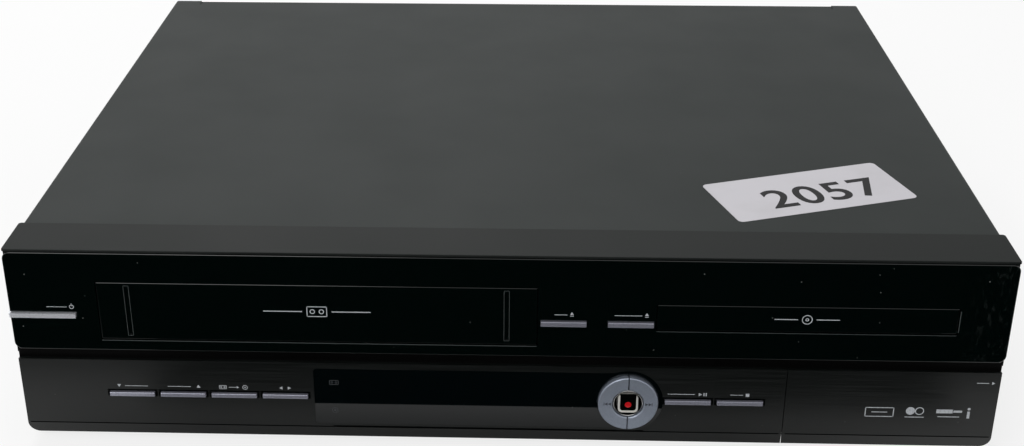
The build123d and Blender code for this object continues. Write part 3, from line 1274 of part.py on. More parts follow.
def fan_frame():
    """A square frame behind the grille, with spokes to the rotor's pin."""
    y0, y1 = REAR_FACE - FAN_DEPTH, REAR_FACE
    side = FAN_SIDE
    frame = box_round(FAN_X, FAN_Z, (side, side), y0, y1)
    frame -= pin_y(FAN_X, y0 - 1, y1 + 1, FAN_Z, side - 2 * FAN_WALL)
    spokes = y1 - FAN_SPOKE_T
    frame += box_round(FAN_X, FAN_Z, (side, FAN_SPOKE), spokes, y1)
    frame += box_round(FAN_X, FAN_Z, (FAN_SPOKE, side), spokes, y1)
    return frame + pin_y(FAN_X, y1 - FAN_PIN_LENGTH, y1, FAN_Z, FAN_PIN_D)


def fan_rotor():
    """A hub with slanted blades that turns on the frame's pin."""
    y1 = REAR_FACE - FAN_SPOKE_T - FLAT_GAP
    y0 = y1 - FAN_HUB_H
    hub = pin_y(FAN_X, y0, y1, FAN_Z, FAN_HUB_D)
    blade = Pos(14.5, 0, 0) * Rot(32, 0, 0) * Box(15.5, 1.2, 9.5)
    middle = (y0 + y1) / 2
    for i in range(FAN_BLADES):
        turned = Rot(0, 360 * i / FAN_BLADES, 0) * blade
        hub += Pos(FAN_X, middle, FAN_Z) * turned
    return hub - pin_y(FAN_X, y0 + 0.8, y1 + 1, FAN_Z, FAN_PIN_D + 2 * RUNNING)


def main():
    """Build every node and write it."""
    os.makedirs("parts", exist_ok=True)
    plain = [
        bottom_chassis, top_cover, rear_panel, front_panel, upper_fascia, lower_fascia, display_window,
        feet, case_screws, stock_label, standby_key, record_key, cassette_door, av_door,
        front_board, key_boards, key_switches, display_tube, front_av_jacks, usb_socket, loader_frame,
        disc_tray, tray_gear, tray_front, traverse_frame, turntable, laser_sled, lead_screw, clamp_bridge,
        disc_clamp, vcr_chassis, drum_base, head_drum, capstan, pinch_roller, cassette_holder, tape_guides,
        main_board, power_board, transformer, filter_capacitors, heat_sink, mains_inlet, scart_sockets,
        rear_jacks, tuner_module, fan_frame, fan_rotor,
    ]
    for make in plain:
        save(make.__name__, make())
    for name, x in LOWER_KEYS.items():
        face = LOWER_FACE - KEY_PROUD
        save(name, bar_key(x, x + LOWER_KEY_LENGTH, LOWER_KEY_Z, LOWER_KEY_H, face))
    for name, (x0, x1) in (("eject_key", EJECT_X), ("open_close_key", OPEN_X)):
        save(name, bar_key(x0, x1, UPPER_KEY_Z, UPPER_KEY_H, FRONT_Y - KEY_PROUD))
    for name, side in (("previous_key", -1), ("next_key", 1)):
        save(name, half_ring_key(side))
    for name, side in (("supply_reel", -1), ("takeup_reel", 1)):
        save(name, reel(side))


main()
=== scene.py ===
"""Looks of the disc and cassette player: finishes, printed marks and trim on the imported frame."""

import logging
import math
from dataclasses import dataclass, field
from enum import Enum

import bmesh
import bpy
from mathutils import Matrix, Vector


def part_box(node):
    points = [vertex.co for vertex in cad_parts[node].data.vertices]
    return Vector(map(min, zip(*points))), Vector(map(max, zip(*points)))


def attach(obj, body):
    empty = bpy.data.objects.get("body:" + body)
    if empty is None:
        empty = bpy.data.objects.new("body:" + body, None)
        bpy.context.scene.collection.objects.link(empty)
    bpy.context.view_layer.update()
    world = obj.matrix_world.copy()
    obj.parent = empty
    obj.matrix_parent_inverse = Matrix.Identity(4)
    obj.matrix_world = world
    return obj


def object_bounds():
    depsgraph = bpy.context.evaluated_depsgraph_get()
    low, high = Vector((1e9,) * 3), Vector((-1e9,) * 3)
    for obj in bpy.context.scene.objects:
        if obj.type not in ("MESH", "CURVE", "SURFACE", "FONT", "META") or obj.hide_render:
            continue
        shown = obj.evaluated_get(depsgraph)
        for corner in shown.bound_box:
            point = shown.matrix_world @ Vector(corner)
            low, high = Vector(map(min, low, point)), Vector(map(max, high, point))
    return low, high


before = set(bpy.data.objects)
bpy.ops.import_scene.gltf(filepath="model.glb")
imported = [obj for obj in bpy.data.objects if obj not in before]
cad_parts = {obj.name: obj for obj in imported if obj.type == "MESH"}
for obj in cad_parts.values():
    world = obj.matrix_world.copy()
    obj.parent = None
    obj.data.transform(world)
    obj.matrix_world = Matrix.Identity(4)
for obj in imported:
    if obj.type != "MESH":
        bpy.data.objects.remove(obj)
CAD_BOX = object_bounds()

Colour = tuple[float, float, float, float]
Triple = tuple[float, float, float]
Pair = tuple[float, float]
Tree = bpy.types.NodeTree
Socket = bpy.types.NodeSocket
BMesh = bmesh.types.BMesh

LOG = logging.getLogger("player")
MM = 0.001
INK_LIFT = 0.03 * MM
# A bar key's hidden flange reaches this far over and under the bar that shows.
KEY_LIP_MM = 1.3


# Shared helpers


def linear(code: str) -> Colour:
    """Turn an sRGB hex value into linear colour.

    Args:
        code: Six hex digits, with or without a leading hash.

    Returns:
        Red, green, blue and an alpha of 1.
    """
    digits = code.lstrip("#")
    parts = [int(digits[i : i + 2], 16) / 255 for i in (0, 2, 4)]
    red, green, blue = (p / 12.92 if p <= 0.04045 else ((p + 0.055) / 1.055) ** 2.4 for p in parts)
    return red, green, blue, 1.0


def toned(colour: Colour, factor: float, lift: float = 0.0) -> Colour:
    """The colour made lighter or darker by a factor and a lift, up to white."""
    return tuple(min(1.0, part * factor + lift) for part in colour[:3]) + (1.0,)


def per_metre(size_mm: float) -> float:
    """Pattern scale whose features are about size_mm apart."""
    return 1000.0 / size_mm


def add_node(
    tree: Tree, kind: str, inputs: dict[str | int, object] | None = None, **settings: object
) -> bpy.types.Node:
    """Add one shader node with its settings, values and links.

    Args:
        tree: The material's or world's node tree.
        kind: The node's type name.
        inputs: Socket name or number to a value, or to the socket that feeds it.
        settings: Properties set on the node itself.

    Returns:
        The new node.
    """
    node = tree.nodes.new(kind)
    for name, value in settings.items():
        setattr(node, name, value)
    for socket, value in (inputs or {}).items():
        if isinstance(value, Socket):
            tree.links.new(value, node.inputs[socket])
        else:
            node.inputs[socket].default_value = value
    return node


def new_tree(name: str) -> tuple[bpy.types.Material, Tree]:
    """Make an empty node material.

    Args:
        name: The material's name.

    Returns:
        The material and its tree.
    """
    material = bpy.data.materials.new(name)
    material.use_nodes = True
    material.node_tree.nodes.clear()
    return material, material.node_tree


def along(tree: Tree, axis: str) -> Socket:
    """The place of a surface point along one axis, in Object coordinates."""
    place = add_node(tree, "ShaderNodeTexCoord")
    return add_node(tree, "ShaderNodeSeparateXYZ", {0: place.outputs["Object"]}).outputs[axis]


def noise(tree: Tree, size_mm: float | Triple, detail: float = 4.0) -> Socket:
    """Noise on Object coordinates with its own grain size along each axis.

    Args:
        tree: The node tree.
        size_mm: Grain size, one for all axes or one each along X, Y and Z.
        detail: How many finer layers it has.

    Returns:
        The noise value's socket.
    """
    sizes = size_mm if isinstance(size_mm, tuple) else (size_mm,) * 3
    place = add_node(tree, "ShaderNodeTexCoord")
    spacing = {"Vector": place.outputs["Object"], "Scale": tuple(map(per_metre, sizes))}
    grid = add_node(tree, "ShaderNodeMapping", spacing)
    inputs = {"Vector": grid.outputs[0], "Scale": 1.0, "Detail": detail}
    return add_node(tree, "ShaderNodeTexNoise", inputs).outputs[0]


def ramp(tree: Tree, source: Socket, low: tuple[float, float | Socket], high: Pair) -> Socket:
    """Stretch a value between two limits.

    Args:
        tree: The node tree.
        source: The socket to stretch.
        low: Input and output value at the low end.
        high: Input and output value at the high end.

    Returns:
        The stretched value's socket.
    """
    inputs = {"Value": source, "From Min": low[0], "From Max": high[0]}
    inputs |= {"To Min": low[1], "To Max": high[1]}
    return add_node(tree, "ShaderNodeMapRange", inputs, clamp=True).outputs["Result"]


def calculate(
    tree: Tree, operation: str, first: object, second: object = None, clamp: bool = False
) -> Socket:
    """Do one sum on one or two values.

    Args:
        tree: The node tree.
        operation: The math node's operation.
        first: A value or a socket.
        second: A value or a socket, where the operation takes two.
        clamp: Keep the result between 0 and 1.

    Returns:
        The result's socket.
    """
    inputs = {0: first} if second is None else {0: first, 1: second}
    node = add_node(tree, "ShaderNodeMath", inputs, operation=operation, use_clamp=clamp)
    return node.outputs[0]


def mix_colour(tree: Tree, amount: Socket, first: object, second: object) -> Socket:
    """Blend two colours by an amount.

    Args:
        tree: The node tree.
        amount: The socket with the share of the second colour.
        first: A colour or a colour socket.
        second: A colour or a colour socket.

    Returns:
        The blended colour's socket.
    """
    inputs = {0: amount, 6: first, 7: second}
    return add_node(tree, "ShaderNodeMix", inputs, data_type="RGBA").outputs[2]


def shade(
    tree: Tree, values: dict[str, object], height: Socket | None = None, depth_mm: float = 0.0
) -> None:
    """Finish a tree with one surface shader and an optional bump.

    Args:
        tree: The node tree.
        values: Shader sockets and their values or feeding sockets.
        height: Bump height from 0 to 1.
        depth_mm: How deep the bump is.
    """
    inputs = dict(values)
    if height is not None:
        relief = {"Height": height, "Distance": depth_mm * MM, "Strength": 1.0}
        inputs["Normal"] = add_node(tree, "ShaderNodeBump", relief).outputs["Normal"]
    surface = add_node(tree, "ShaderNodeBsdfPrincipled", inputs)
    add_node(tree, "ShaderNodeOutputMaterial", {"Surface": surface.outputs[0]})


def link_object(name: str, data: bpy.types.ID) -> bpy.types.Object:
    """Make an object of the data and link it to the scene.

    Args:
        name: The object's name.
        data: Its mesh, curve, lamp or camera.

    Returns:
        The new object.
    """
    made = bpy.data.objects.new(name, data)
    bpy.context.scene.collection.objects.link(made)
    return made


def into_mesh(name: str, mesh: BMesh, closed: bool = False) -> bpy.types.Mesh:
    """Write a shape that is in place, in metres, as new mesh data.

    Args:
        name: The name of the mesh data.
        mesh: The shape, which is freed.
        closed: It is a solid: merge its double points and turn its faces outward.

    Returns:
        The mesh data.
    """
    if closed:
        bmesh.ops.remove_doubles(mesh, verts=mesh.verts, dist=1e-7)
        bmesh.ops.recalc_face_normals(mesh, faces=mesh.faces)
    data = bpy.data.meshes.new(name)
    mesh.to_mesh(data)
    mesh.free()
    return data


# Finishes


@dataclass(frozen=True)
class Dust:
    """Settled dust: scattered pale specks.

    Attributes:
        spacing_mm: About how far apart the specks lie.
        cover: How much of the tone a speck hides.
    """

    spacing_mm: float
    speck_mm: float
    cover: float
    colour: str

    def over(self, tree: Tree, tone: object) -> Socket:
        """Lay the specks over a tone.

        Args:
            tree: The node tree.
            tone: The colour or colour socket under the dust.

        Returns:
            The dusty colour's socket.
        """
        place = add_node(tree, "ShaderNodeTexCoord")
        scale = per_metre(self.spacing_mm)
        inputs = {"Vector": place.outputs["Object"], "Scale": scale, "Randomness": 1.0}
        cells = add_node(tree, "ShaderNodeTexVoronoi", inputs)
        edge = self.speck_mm / self.spacing_mm / 2
        near = ramp(tree, cells.outputs["Distance"], (edge * 0.6, 1.0), (edge, 0.0))
        some = ramp(tree, cells.outputs["Color"], (0.60, 0.0), (0.75, 1.0))
        specks = calculate(tree, "MULTIPLY", near, some)
        share = ramp(tree, specks, (0.0, 0.0), (1.0, self.cover))
        return mix_colour(tree, share, tone, linear(self.colour))


@dataclass(frozen=True)
class Finish:
    """What every finish shares: a name and a way to make its material."""

    name: str

    def make(self) -> bpy.types.Material:
        """Build the material.

        Returns:
            The material, named for the finish.
        """
        material, tree = new_tree(self.name)
        self.surface(tree)
        return material

    def surface(self, tree: Tree) -> None:
        """Build the surface's nodes in an empty tree."""
        raise NotImplementedError


@dataclass(frozen=True)
class TexturedPlastic(Finish):
    """Injection-moulded ABS: satin, with a fine spark-eroded grain that softens its shine."""

    colour: str
    roughness: float = 0.45
    grain_mm: float = 0.6
    grain_depth_mm: float = 0.012
    dust: float = 0.15
    specular: float = 0.3
    shade_below_mm: float = -1.0
    blotch_mm: float = 60.0
    fade_mm: float = 2.0

    def surface(self, tree: Tree) -> None:
        """Grain, faint blotches, dust, and painted shade near black below shade_below_mm if set."""
        grain = noise(tree, self.grain_mm)
        blotch = noise(tree, self.blotch_mm, 3.0)
        base = linear(self.colour)
        uneven = ramp(tree, blotch, (0.35, 0.0), (0.7, 1.0))
        tone = mix_colour(tree, uneven, base, toned(base, 1.35, 0.004))
        colour = Dust(9.0, 0.45, self.dust, "#8d8f8c").over(tree, tone)
        rough = ramp(tree, blotch, (0.3, self.roughness - 0.05), (0.7, self.roughness + 0.06))
        # Painted shade: the recessed wall below this height is painted near black, fading in over
        # fade_mm.
        if self.shade_below_mm > 0:
            first, last = (self.shade_below_mm - self.fade_mm) * MM, self.shade_below_mm * MM
            up = ramp(tree, along(tree, "Z"), (first, 0.0), (last, 1.0))
            colour = mix_colour(tree, up, linear("#010101"), colour)
        values = {"Base Color": colour, "Roughness": rough, "Specular IOR Level": self.specular}
        shade(tree, values, grain, self.grain_depth_mm)


@dataclass(frozen=True)
class BrushedSatinPlastic(Finish):
    """ABS plate, brushed lengthwise under a satin lacquer: long faint streaks along X."""

    colour: str
    streak: str
    roughness: float = 0.34
    specular: float = 0.4
    streak_mm: Triple = (45.0, 8.0, 0.55)
    streak_depth_mm: float = 0.006

    def surface(self, tree: Tree) -> None:
        """Streaks in tone, shine and relief, with dust over them."""
        lines = noise(tree, self.streak_mm, 6.0)
        share = ramp(tree, lines, (0.42, 0.0), (0.66, 0.55))
        tone = mix_colour(tree, share, linear(self.colour), linear(self.streak))
        colour = Dust(8.0, 0.5, 0.22, "#9a9c9a").over(tree, tone)
        rough = ramp(tree, lines, (0.35, self.roughness - 0.05), (0.7, self.roughness + 0.1))
        values = {"Base Color": colour, "Roughness": rough, "Specular IOR Level": self.specular}
        shade(tree, values, lines, self.streak_depth_mm)


@dataclass(frozen=True)
class PolishedPlastic(Finish):
    """High-gloss moulded plastic: deep black, with hairline scratches and settled dust."""

    colour: str
    roughness: float = 0.06
    dust: float = 0.3
    scratch: float = 0.14
    dust_mm: float = 11.0
    scuffs_from_mm: float = 0.0
    scuffs_grow_mm: float = 14.0
    hair_mm: Triple = (28.0, 28.0, 0.22)
    cross_mm: Triple = (0.3, 9.0, 14.0)
    smear_mm: Triple = (1.8, 1.8, 5.0)

    def surface(self, tree: Tree) -> None:
        """Scratches in the shine, dust, and scuffs right of scuffs_from_mm if it is set."""
        line = ramp(tree, noise(tree, self.hair_mm, 2.0), (0.70, 0.0), (0.74, 1.0))
        other = ramp(tree, noise(tree, self.cross_mm, 2.0), (0.72, 0.0), (0.76, 1.0))
        either = calculate(tree, "MAXIMUM", line, other)
        rough = ramp(tree, either, (0.0, self.roughness), (1.0, self.roughness + self.scratch))
        colour = Dust(self.dust_mm, 0.55, self.dust, "#a9aaa6").over(tree, linear(self.colour))
        if self.scuffs_from_mm > 0:
            first = self.scuffs_from_mm * MM
            last = first + self.scuffs_grow_mm * MM
            end = ramp(tree, along(tree, "X"), (first, 0.0), (last, 1.0))
            worn = ramp(tree, noise(tree, self.smear_mm, 5.0), (0.56, 0.0), (0.76, 0.05))
            scuffs = calculate(tree, "MULTIPLY", end, worn)
            colour = mix_colour(tree, scuffs, colour, linear("#868b89"))
        shade(tree, {"Base Color": colour, "Roughness": rough, "IOR": 1.49})


@dataclass(frozen=True)
class PowderCoatedSteel(Finish):
    """Sheet steel under a satin powder coat: an even dark grey with fine orange peel."""

    colour: str
    worn: str
    roughness: float = 0.5
    grain_mm: float = 0.9
    specular: float = 0.075
    cloud_mm: float = 120.0
    rub_mm: float = 40.0
    peel_depth_mm: float = 0.02

    def surface(self, tree: Tree) -> None:
        """Orange peel, wide faint clouds of handling, and a few specks of dust."""
        grain = noise(tree, self.grain_mm, 3.0)
        cloud = noise(tree, self.cloud_mm, 3.0)
        rub = noise(tree, self.rub_mm)
        share = ramp(tree, cloud, (0.35, 0.0), (0.7, 0.5))
        tone = mix_colour(tree, share, linear(self.colour), linear(self.worn))
        colour = Dust(14.0, 0.7, 0.16, "#96978f").over(tree, tone)
        rough = ramp(tree, rub, (0.35, self.roughness - 0.02), (0.75, self.roughness + 0.03))
        values = {"Base Color": colour, "Roughness": rough, "Specular IOR Level": self.specular}
        shade(tree, values, grain, self.peel_depth_mm)


@dataclass(frozen=True)
class MetallicPaint(Finish):
    """Silver lacquer on plastic: fine metal flake under a satin clear coat."""

    colour: str
    metallic: float = 0.55
    roughness: float = 0.34
    flake_mm: float = 0.35

    def surface(self, tree: Tree) -> None:
        """Flakes that differ a little in tone and shine."""
        flake = noise(tree, self.flake_mm, 2.0)
        base = linear(self.colour)
        share = ramp(tree, flake, (0.35, 0.0), (0.65, 1.0))
        colour = mix_colour(tree, share, base, toned(base, 0.82))
        rough = ramp(tree, flake, (0.3, self.roughness - 0.04), (0.7, self.roughness + 0.05))
        shade(tree, {"Base Color": colour, "Metallic": self.metallic, "Roughness": rough})


@dataclass(frozen=True)
class BareMetal(Finish):
    """Bare or plated metal: brushed one way, with cloudy patches in its shine."""

    colour: str
    roughness: float = 0.35
    brush_mm: Triple = (30.0, 30.0, 0.8)
    cloud_mm: float = 14.0
    brush_depth_mm: float = 0.01

    def surface(self, tree: Tree) -> None:
        """Brushing in the shine and relief, and darker clouds."""
        brush = noise(tree, self.brush_mm, 5.0)
        cloud = noise(tree, self.cloud_mm, 2.0)
        base = linear(self.colour)
        share = ramp(tree, cloud, (0.4, 0.0), (0.6, 0.6))
        colour = mix_colour(tree, share, base, toned(base, 0.78))
        rough = ramp(tree, brush, (0.3, self.roughness - 0.08), (0.7, self.roughness + 0.1))
        values = {"Base Color": colour, "Metallic": 1.0, "Roughness": rough}
        shade(tree, values, brush, self.brush_depth_mm)


@dataclass(frozen=True)
class SoftRubber(Finish):
    """Moulded rubber: dull, dark, dusty where it has been handled."""

    colour: str
    bloom_mm: float = 6.0

    def surface(self, tree: Tree) -> None:
        """A grey bloom in patches, which is also its relief."""
        bloom = noise(tree, self.bloom_mm, 5.0)
        share = ramp(tree, bloom, (0.5, 0.0), (0.8, 0.5))
        colour = mix_colour(tree, share, linear(self.colour), linear("#4a4a48"))
        shade(tree, {"Base Color": colour, "Roughness": 0.85}, bloom, 0.05)


@dataclass(frozen=True)
class LabelPaper(Finish):
    """Coated label paper: off-white, matt, with faint fibres and a little grime."""

    colour: str
    grime: str
    fibre_mm: Triple = (2.2, 0.5, 0.5)
    stain_mm: float = 26.0

    def surface(self, tree: Tree) -> None:
        """Stains in tone and fibres in relief."""
        fibre = noise(tree, self.fibre_mm, 5.0)
        stain = noise(tree, self.stain_mm)
        share = ramp(tree, stain, (0.5, 0.0), (0.8, 0.5))
        colour = mix_colour(tree, share, linear(self.colour), linear(self.grime))
        shade(tree, {"Base Color": colour, "Roughness": 0.7}, fibre, 0.02)


@dataclass(frozen=True)
class ScreenInk(Finish):
    """Screen-printed ink: flat and thin, and not quite evenly dense."""

    colour: str
    specular: float = 0.5
    wear_mm: float = 0.7

    def surface(self, tree: Tree) -> None:
        """A tone with thinner, darker spots."""
        base = linear(self.colour)
        share = ramp(tree, noise(tree, self.wear_mm, 3.0), (0.45, 0.0), (0.7, 1.0))
        colour = mix_colour(tree, share, base, toned(base, 0.72))
        values = {"Base Color": colour, "Roughness": 0.5, "Specular IOR Level": self.specular}
        shade(tree, values)


@dataclass(frozen=True)
class CircuitBoard(Finish):
    """Lacquered circuit board: tracks show as lighter lines under the solder resist."""

    resist: str
    track: str
    track_mm: float = 4.0

    def surface(self, tree: Tree) -> None:
        """Square-cornered tracks in tone and relief."""
        place = add_node(tree, "ShaderNodeTexCoord")
        inputs = {"Vector": place.outputs["Object"], "Scale": per_metre(self.track_mm)}
        settings = {"distance": "CHEBYCHEV", "feature": "F2"}
        cells = add_node(tree, "ShaderNodeTexVoronoi", inputs, **settings)
        line = ramp(tree, cells.outputs["Distance"], (0.55, 0.0), (0.6, 0.7))
        colour = mix_colour(tree, line, linear(self.resist), linear(self.track))
        shade(tree, {"Base Color": colour, "Roughness": 0.38}, line, 0.05)


@dataclass(frozen=True)
class ColourBands(Finish):
    """Moulded plastic collars in three colours, side by side along X."""

    edges_mm: Pair
    colours: tuple[str, str, str]
    grain_mm: float = 0.8

    def surface(self, tree: Tree) -> None:
        """One colour per collar, with a fine grain."""
        tone: object = linear(self.colours[0])
        for edge, code in zip(self.edges_mm, self.colours[1:]):
            past = calculate(tree, "GREATER_THAN", along(tree, "X"), edge * MM)
            tone = mix_colour(tree, past, tone, linear(code))
        grain = noise(tree, self.grain_mm, 3.0)
        rough = ramp(tree, grain, (0.3, 0.25), (0.7, 0.4))
        shade(tree, {"Base Color": tone, "Roughness": rough}, grain, 0.01)


@dataclass(frozen=True)
class TubeGlass(Finish):
    """Clear display glass over a dark grey back plate."""

    colour: str
    haze_mm: float = 5.0

    def surface(self, tree: Tree) -> None:
        """A dark tone under a clear coat with a faint haze."""
        rough = ramp(tree, noise(tree, self.haze_mm, 3.0), (0.3, 0.04), (0.7, 0.1))
        values = {"Base Color": linear(self.colour), "Roughness": rough}
        shade(tree, values | {"Coat Weight": 0.6, "IOR": 1.52})


class Finishes(Enum):
    """Every finish that the player's pieces take."""

    COVER = PowderCoatedSteel("satin_powder_coat", "#252928", "#292d2c")
    # The front panel's recess wall below 92 mm takes painted shade.
    STRIP = TexturedPlastic(
        "grained_abs_strip", "#141716", 0.5, specular=0.07, shade_below_mm=92.0
    )
    GLOSS = PolishedPlastic(
        "polished_black_abs", "#020706", dust=0.5, dust_mm=8.0, scuffs_from_mm=196.0
    )
    DOOR_GLOSS = PolishedPlastic("polished_black_door", "#020706", 0.07)
    WINDOW = PolishedPlastic("smoked_acrylic", "#030708", 0.03, 0.2)
    SATIN = BrushedSatinPlastic("brushed_satin_abs", "#070a09", "#0d1110")
    KEY = MetallicPaint("silver_lacquer", "#9899a6", 0.5, 0.28)
    STANDBY = MetallicPaint("bright_silver_lacquer", "#dddfe5", 0.42, 0.28)
    RING = MetallicPaint("blue_grey_lacquer", "#959dab", 0.5, 0.38)
    CHROME = BareMetal("chromed_plastic", "#e3e3e4", 0.1, (8.0, 8.0, 8.0))
    PLATED = MetallicPaint("satin_plated_plastic", "#e4e2dc", 0.25, 0.3)
    # Painted highlight: a lighter plastic drawn as thin lines on moulded edges where they would
    # catch the light.
    EDGE = PolishedPlastic("painted_edge_highlight", "#454a4a", 0.25, 0.1)
    LENS = PolishedPlastic("black_key_insert", "#050505", 0.05, 0.1)
    RED = PolishedPlastic("red_key_dot", "#c30c16", 0.2, 0.0)
    ZINC = BareMetal("zinc_plated_sheet", "#a9acb0", 0.38, (2.0, 2.0, 2.0))
    ALUMINIUM = BareMetal("turned_aluminium", "#c6c8ca", 0.25, (9.0, 9.0, 0.4))
    SCREW = BareMetal("blacked_screw", "#2c2d2f", 0.4)
    INNER = TexturedPlastic("plain_dark_abs", "#1b1c1e", 0.5, 1.2)
    WHITE = TexturedPlastic("natural_acetal", "#cfcfc8", 0.4, 1.2)
    RUBBER = SoftRubber("moulded_rubber", "#131313")
    PAPER = LabelPaper("coated_label_paper", "#c8c6cb", "#b6b4b7")
    BOARD = CircuitBoard("green_circuit_board", "#0f4325", "#2b6e46")
    PHENOLIC = CircuitBoard("brown_circuit_board", "#7d5a33", "#94713f")
    COPPER = BareMetal("varnished_copper", "#b5693a", 0.35, (1.0, 12.0, 1.0))
    SLEEVE = PolishedPlastic("capacitor_sleeve", "#141a36", 0.25)
    GLASS = TubeGlass("display_tube_glass", "#16201f")
    FRONT_COLLARS = ColourBands(
        "front_socket_collars", (154.0, 170.0), ("#d8a90f", "#d9d9d4", "#b01018")
    )
    REAR_COLLARS = ColourBands(
        "rear_socket_collars", (-126.0, -110.0), ("#b01018", "#d9d9d4", "#d8a90f")
    )
    WHITE_INK = ScreenInk("white_screen_ink", "#b9bdc2")
    DIM_INK = ScreenInk("dim_screen_ink", "#3a3d40")
    DARK_INK = ScreenInk("dark_screen_ink", "#383d47")
    LABEL_INK = ScreenInk("label_print", "#0d0d0f", 0.12)
    # Painted shade: near-black lines at the bevel crease, the window's lower edge and round the key
    # recesses.
    PAINTED_SHADE = ScreenInk("painted_shade_line", "#010202", 0.02)

    def material(self) -> bpy.types.Material:
        """The finish's material, made when it is first asked for."""
        made = bpy.data.materials.get(self.value.name)
        return made or self.value.make()


UPPER_KEYS = ("eject_key", "open_close_key")
LOWER_KEYS = (
    "channel_down_key", "channel_up_key", "dubbing_key", "source_key", "play_key", "stop_key",
)
NODES_IN: dict[str, tuple[str, ...]] = {
    "COVER": ("top_cover", "rear_panel"),
    "STRIP": ("front_panel",),
    "GLOSS": ("upper_fascia",),
    "DOOR_GLOSS": ("cassette_door", "tray_front"),
    "SATIN": ("lower_fascia", "av_door"),
    "WINDOW": ("display_window",),
    "KEY": UPPER_KEYS + LOWER_KEYS,
    "STANDBY": ("standby_key",),
    "RING": ("previous_key", "next_key"),
    "PLATED": ("record_key",),
    "RUBBER": ("feet", "pinch_roller"),
    "SCREW": ("case_screws",),
    "PAPER": ("stock_label",),
    "ZINC": (
        "bottom_chassis", "vcr_chassis", "clamp_bridge", "traverse_frame", "lead_screw",
        "capstan", "tape_guides", "cassette_holder", "tuner_module", "usb_socket",
    ),
    "ALUMINIUM": ("drum_base", "head_drum", "heat_sink"),
    "WHITE": ("tray_gear", "supply_reel", "takeup_reel"),
    "PHENOLIC": ("front_board", "key_boards", "power_board"),
    "BOARD": ("main_board",),
    "COPPER": ("transformer",),
    "SLEEVE": ("filter_capacitors",),
    "GLASS": ("display_tube",),
    "FRONT_COLLARS": ("front_av_jacks",),
    "REAR_COLLARS": ("rear_jacks",),
}
FINISH_OF = {node: Finishes[name] for name, nodes in NODES_IN.items() for node in nodes}


# Printed marks


def settle(data: bpy.types.Mesh, finish: Finishes, body: str) -> bpy.types.Object:
    """Make a piece of finished mesh data and let it ride on a body.

    Args:
        data: Its mesh, in metres, in place, with the piece's name.
        finish: Its finish.
        body: The body that it rides on.

    Returns:
        The new piece.
    """
    data.materials.clear()
    data.materials.append(finish.material())
    piece = link_object(data.name, data)
    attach(piece, body)
    LOG.info("built %s: %d faces", piece.name, len(data.polygons))
    return piece


class Way(Enum):
    """Which way a printed triangle points, as degrees from pointing right."""

    RIGHT = 0.0
    UP = 90.0
    LEFT = 180.0
    DOWN = 270.0


@dataclass
class Marks:
    """Flat printed shapes on a face that looks to the front.

    Every method takes a shape's centre to the right and in height and its sizes, in millimetres,
    and returns the marks for the next shape.

    Attributes:
        face_mm: The face's place along Y.
        body: The body that the print rides on.
    """

    name: str
    face_mm: float
    body: str
    ink: Finishes = Finishes.WHITE_INK
    mesh: BMesh = field(default_factory=bmesh.new)

    def place(self, x: float, z: float, turn: float = 0.0) -> Matrix:
        """Where a flat shape goes.

        Args:
            x: Place to the right.
            z: Height.
            turn: Turn within the face, in degrees.

        Returns:
            The matrix that stands the shape up on the face.
        """
        where = Matrix.Translation((x * MM, self.face_mm * MM - INK_LIFT, z * MM))
        upright = Matrix.Rotation(math.radians(90), 4, "X")
        return where @ upright @ Matrix.Rotation(math.radians(turn), 4, "Z")

    def bar(self, x: float, z: float, width: float, height: float) -> "Marks":
        """Add a filled bar."""
        shape = self.place(x, z) @ Matrix.Diagonal((width * MM / 2, height * MM / 2, 1.0, 1.0))
        bmesh.ops.create_grid(self.mesh, x_segments=1, y_segments=1, size=1.0, matrix=shape)
        return self

    def triangle(self, x: float, z: float, size: float, way: Way) -> "Marks":
        """Add a filled triangle that points one way."""
        where, radius = self.place(x, z, way.value - 90.0), size * MM / 2
        bmesh.ops.create_circle(self.mesh, cap_ends=True, segments=3, radius=radius, matrix=where)
        return self

    def disc(self, x: float, z: float, size: float) -> "Marks":
        """Add a filled disc."""
        where, radius = self.place(x, z), size * MM / 2
        bmesh.ops.create_circle(self.mesh, cap_ends=True, segments=32, radius=radius, matrix=where)
        return self

    def ring(self, x: float, z: float, size: float, line: float) -> "Marks":
        """Add a circle drawn with a line."""
        loops = []
        for radius in (size / 2, size / 2 - line):
            made = bmesh.ops.create_circle(
                self.mesh, cap_ends=False, segments=40, radius=radius * MM, matrix=self.place(x, z)
            )
            loops += dict.fromkeys(edge for vert in made["verts"] for edge in vert.link_edges)
        bmesh.ops.bridge_loops(self.mesh, edges=loops)
        return self

    def frame(self, x: float, z: float, width: float, height: float, line: float) -> "Marks":
        """Add a box drawn with a line."""
        for side in (-1, 1):
            self.bar(x, z + side * (height - line) / 2, width, line)
            self.bar(x + side * (width - line) / 2, z, line, height)
        return self

    def cassette(self, x: float, z: float, width: float, line: float) -> "Marks":
        """Add a plain cassette sign: a box with two reels."""
        self.frame(x, z, width, width * 0.58, line)
        for side in (-1, 1):
            self.ring(x + side * width * 0.22, z, width * 0.26, line)
        return self

    def disc_sign(self, x: float, z: float, size: float, line: float) -> "Marks":
        """Add a plain disc sign: two circles."""
        return self.ring(x, z, size, line).ring(x, z, size * 0.34, line)

    def eject(self, x: float, z: float, size: float) -> "Marks":
        """Add an eject sign: a triangle over a bar."""
        self.triangle(x, z + size * 0.2, size, Way.UP)
        return self.bar(x, z - size * 0.36, size * 0.86, size * 0.16)

    def finish(self) -> bpy.types.Object:
        """Turn the shapes into one piece on its body.

        Returns:
            The printed piece.
        """
        bmesh.ops.recalc_face_normals(self.mesh, faces=self.mesh.faces)
        for face in self.mesh.faces:
            if face.normal.y > 0:
                face.normal_flip()
        return settle(into_mesh(self.name, self.mesh), self.ink, self.body)


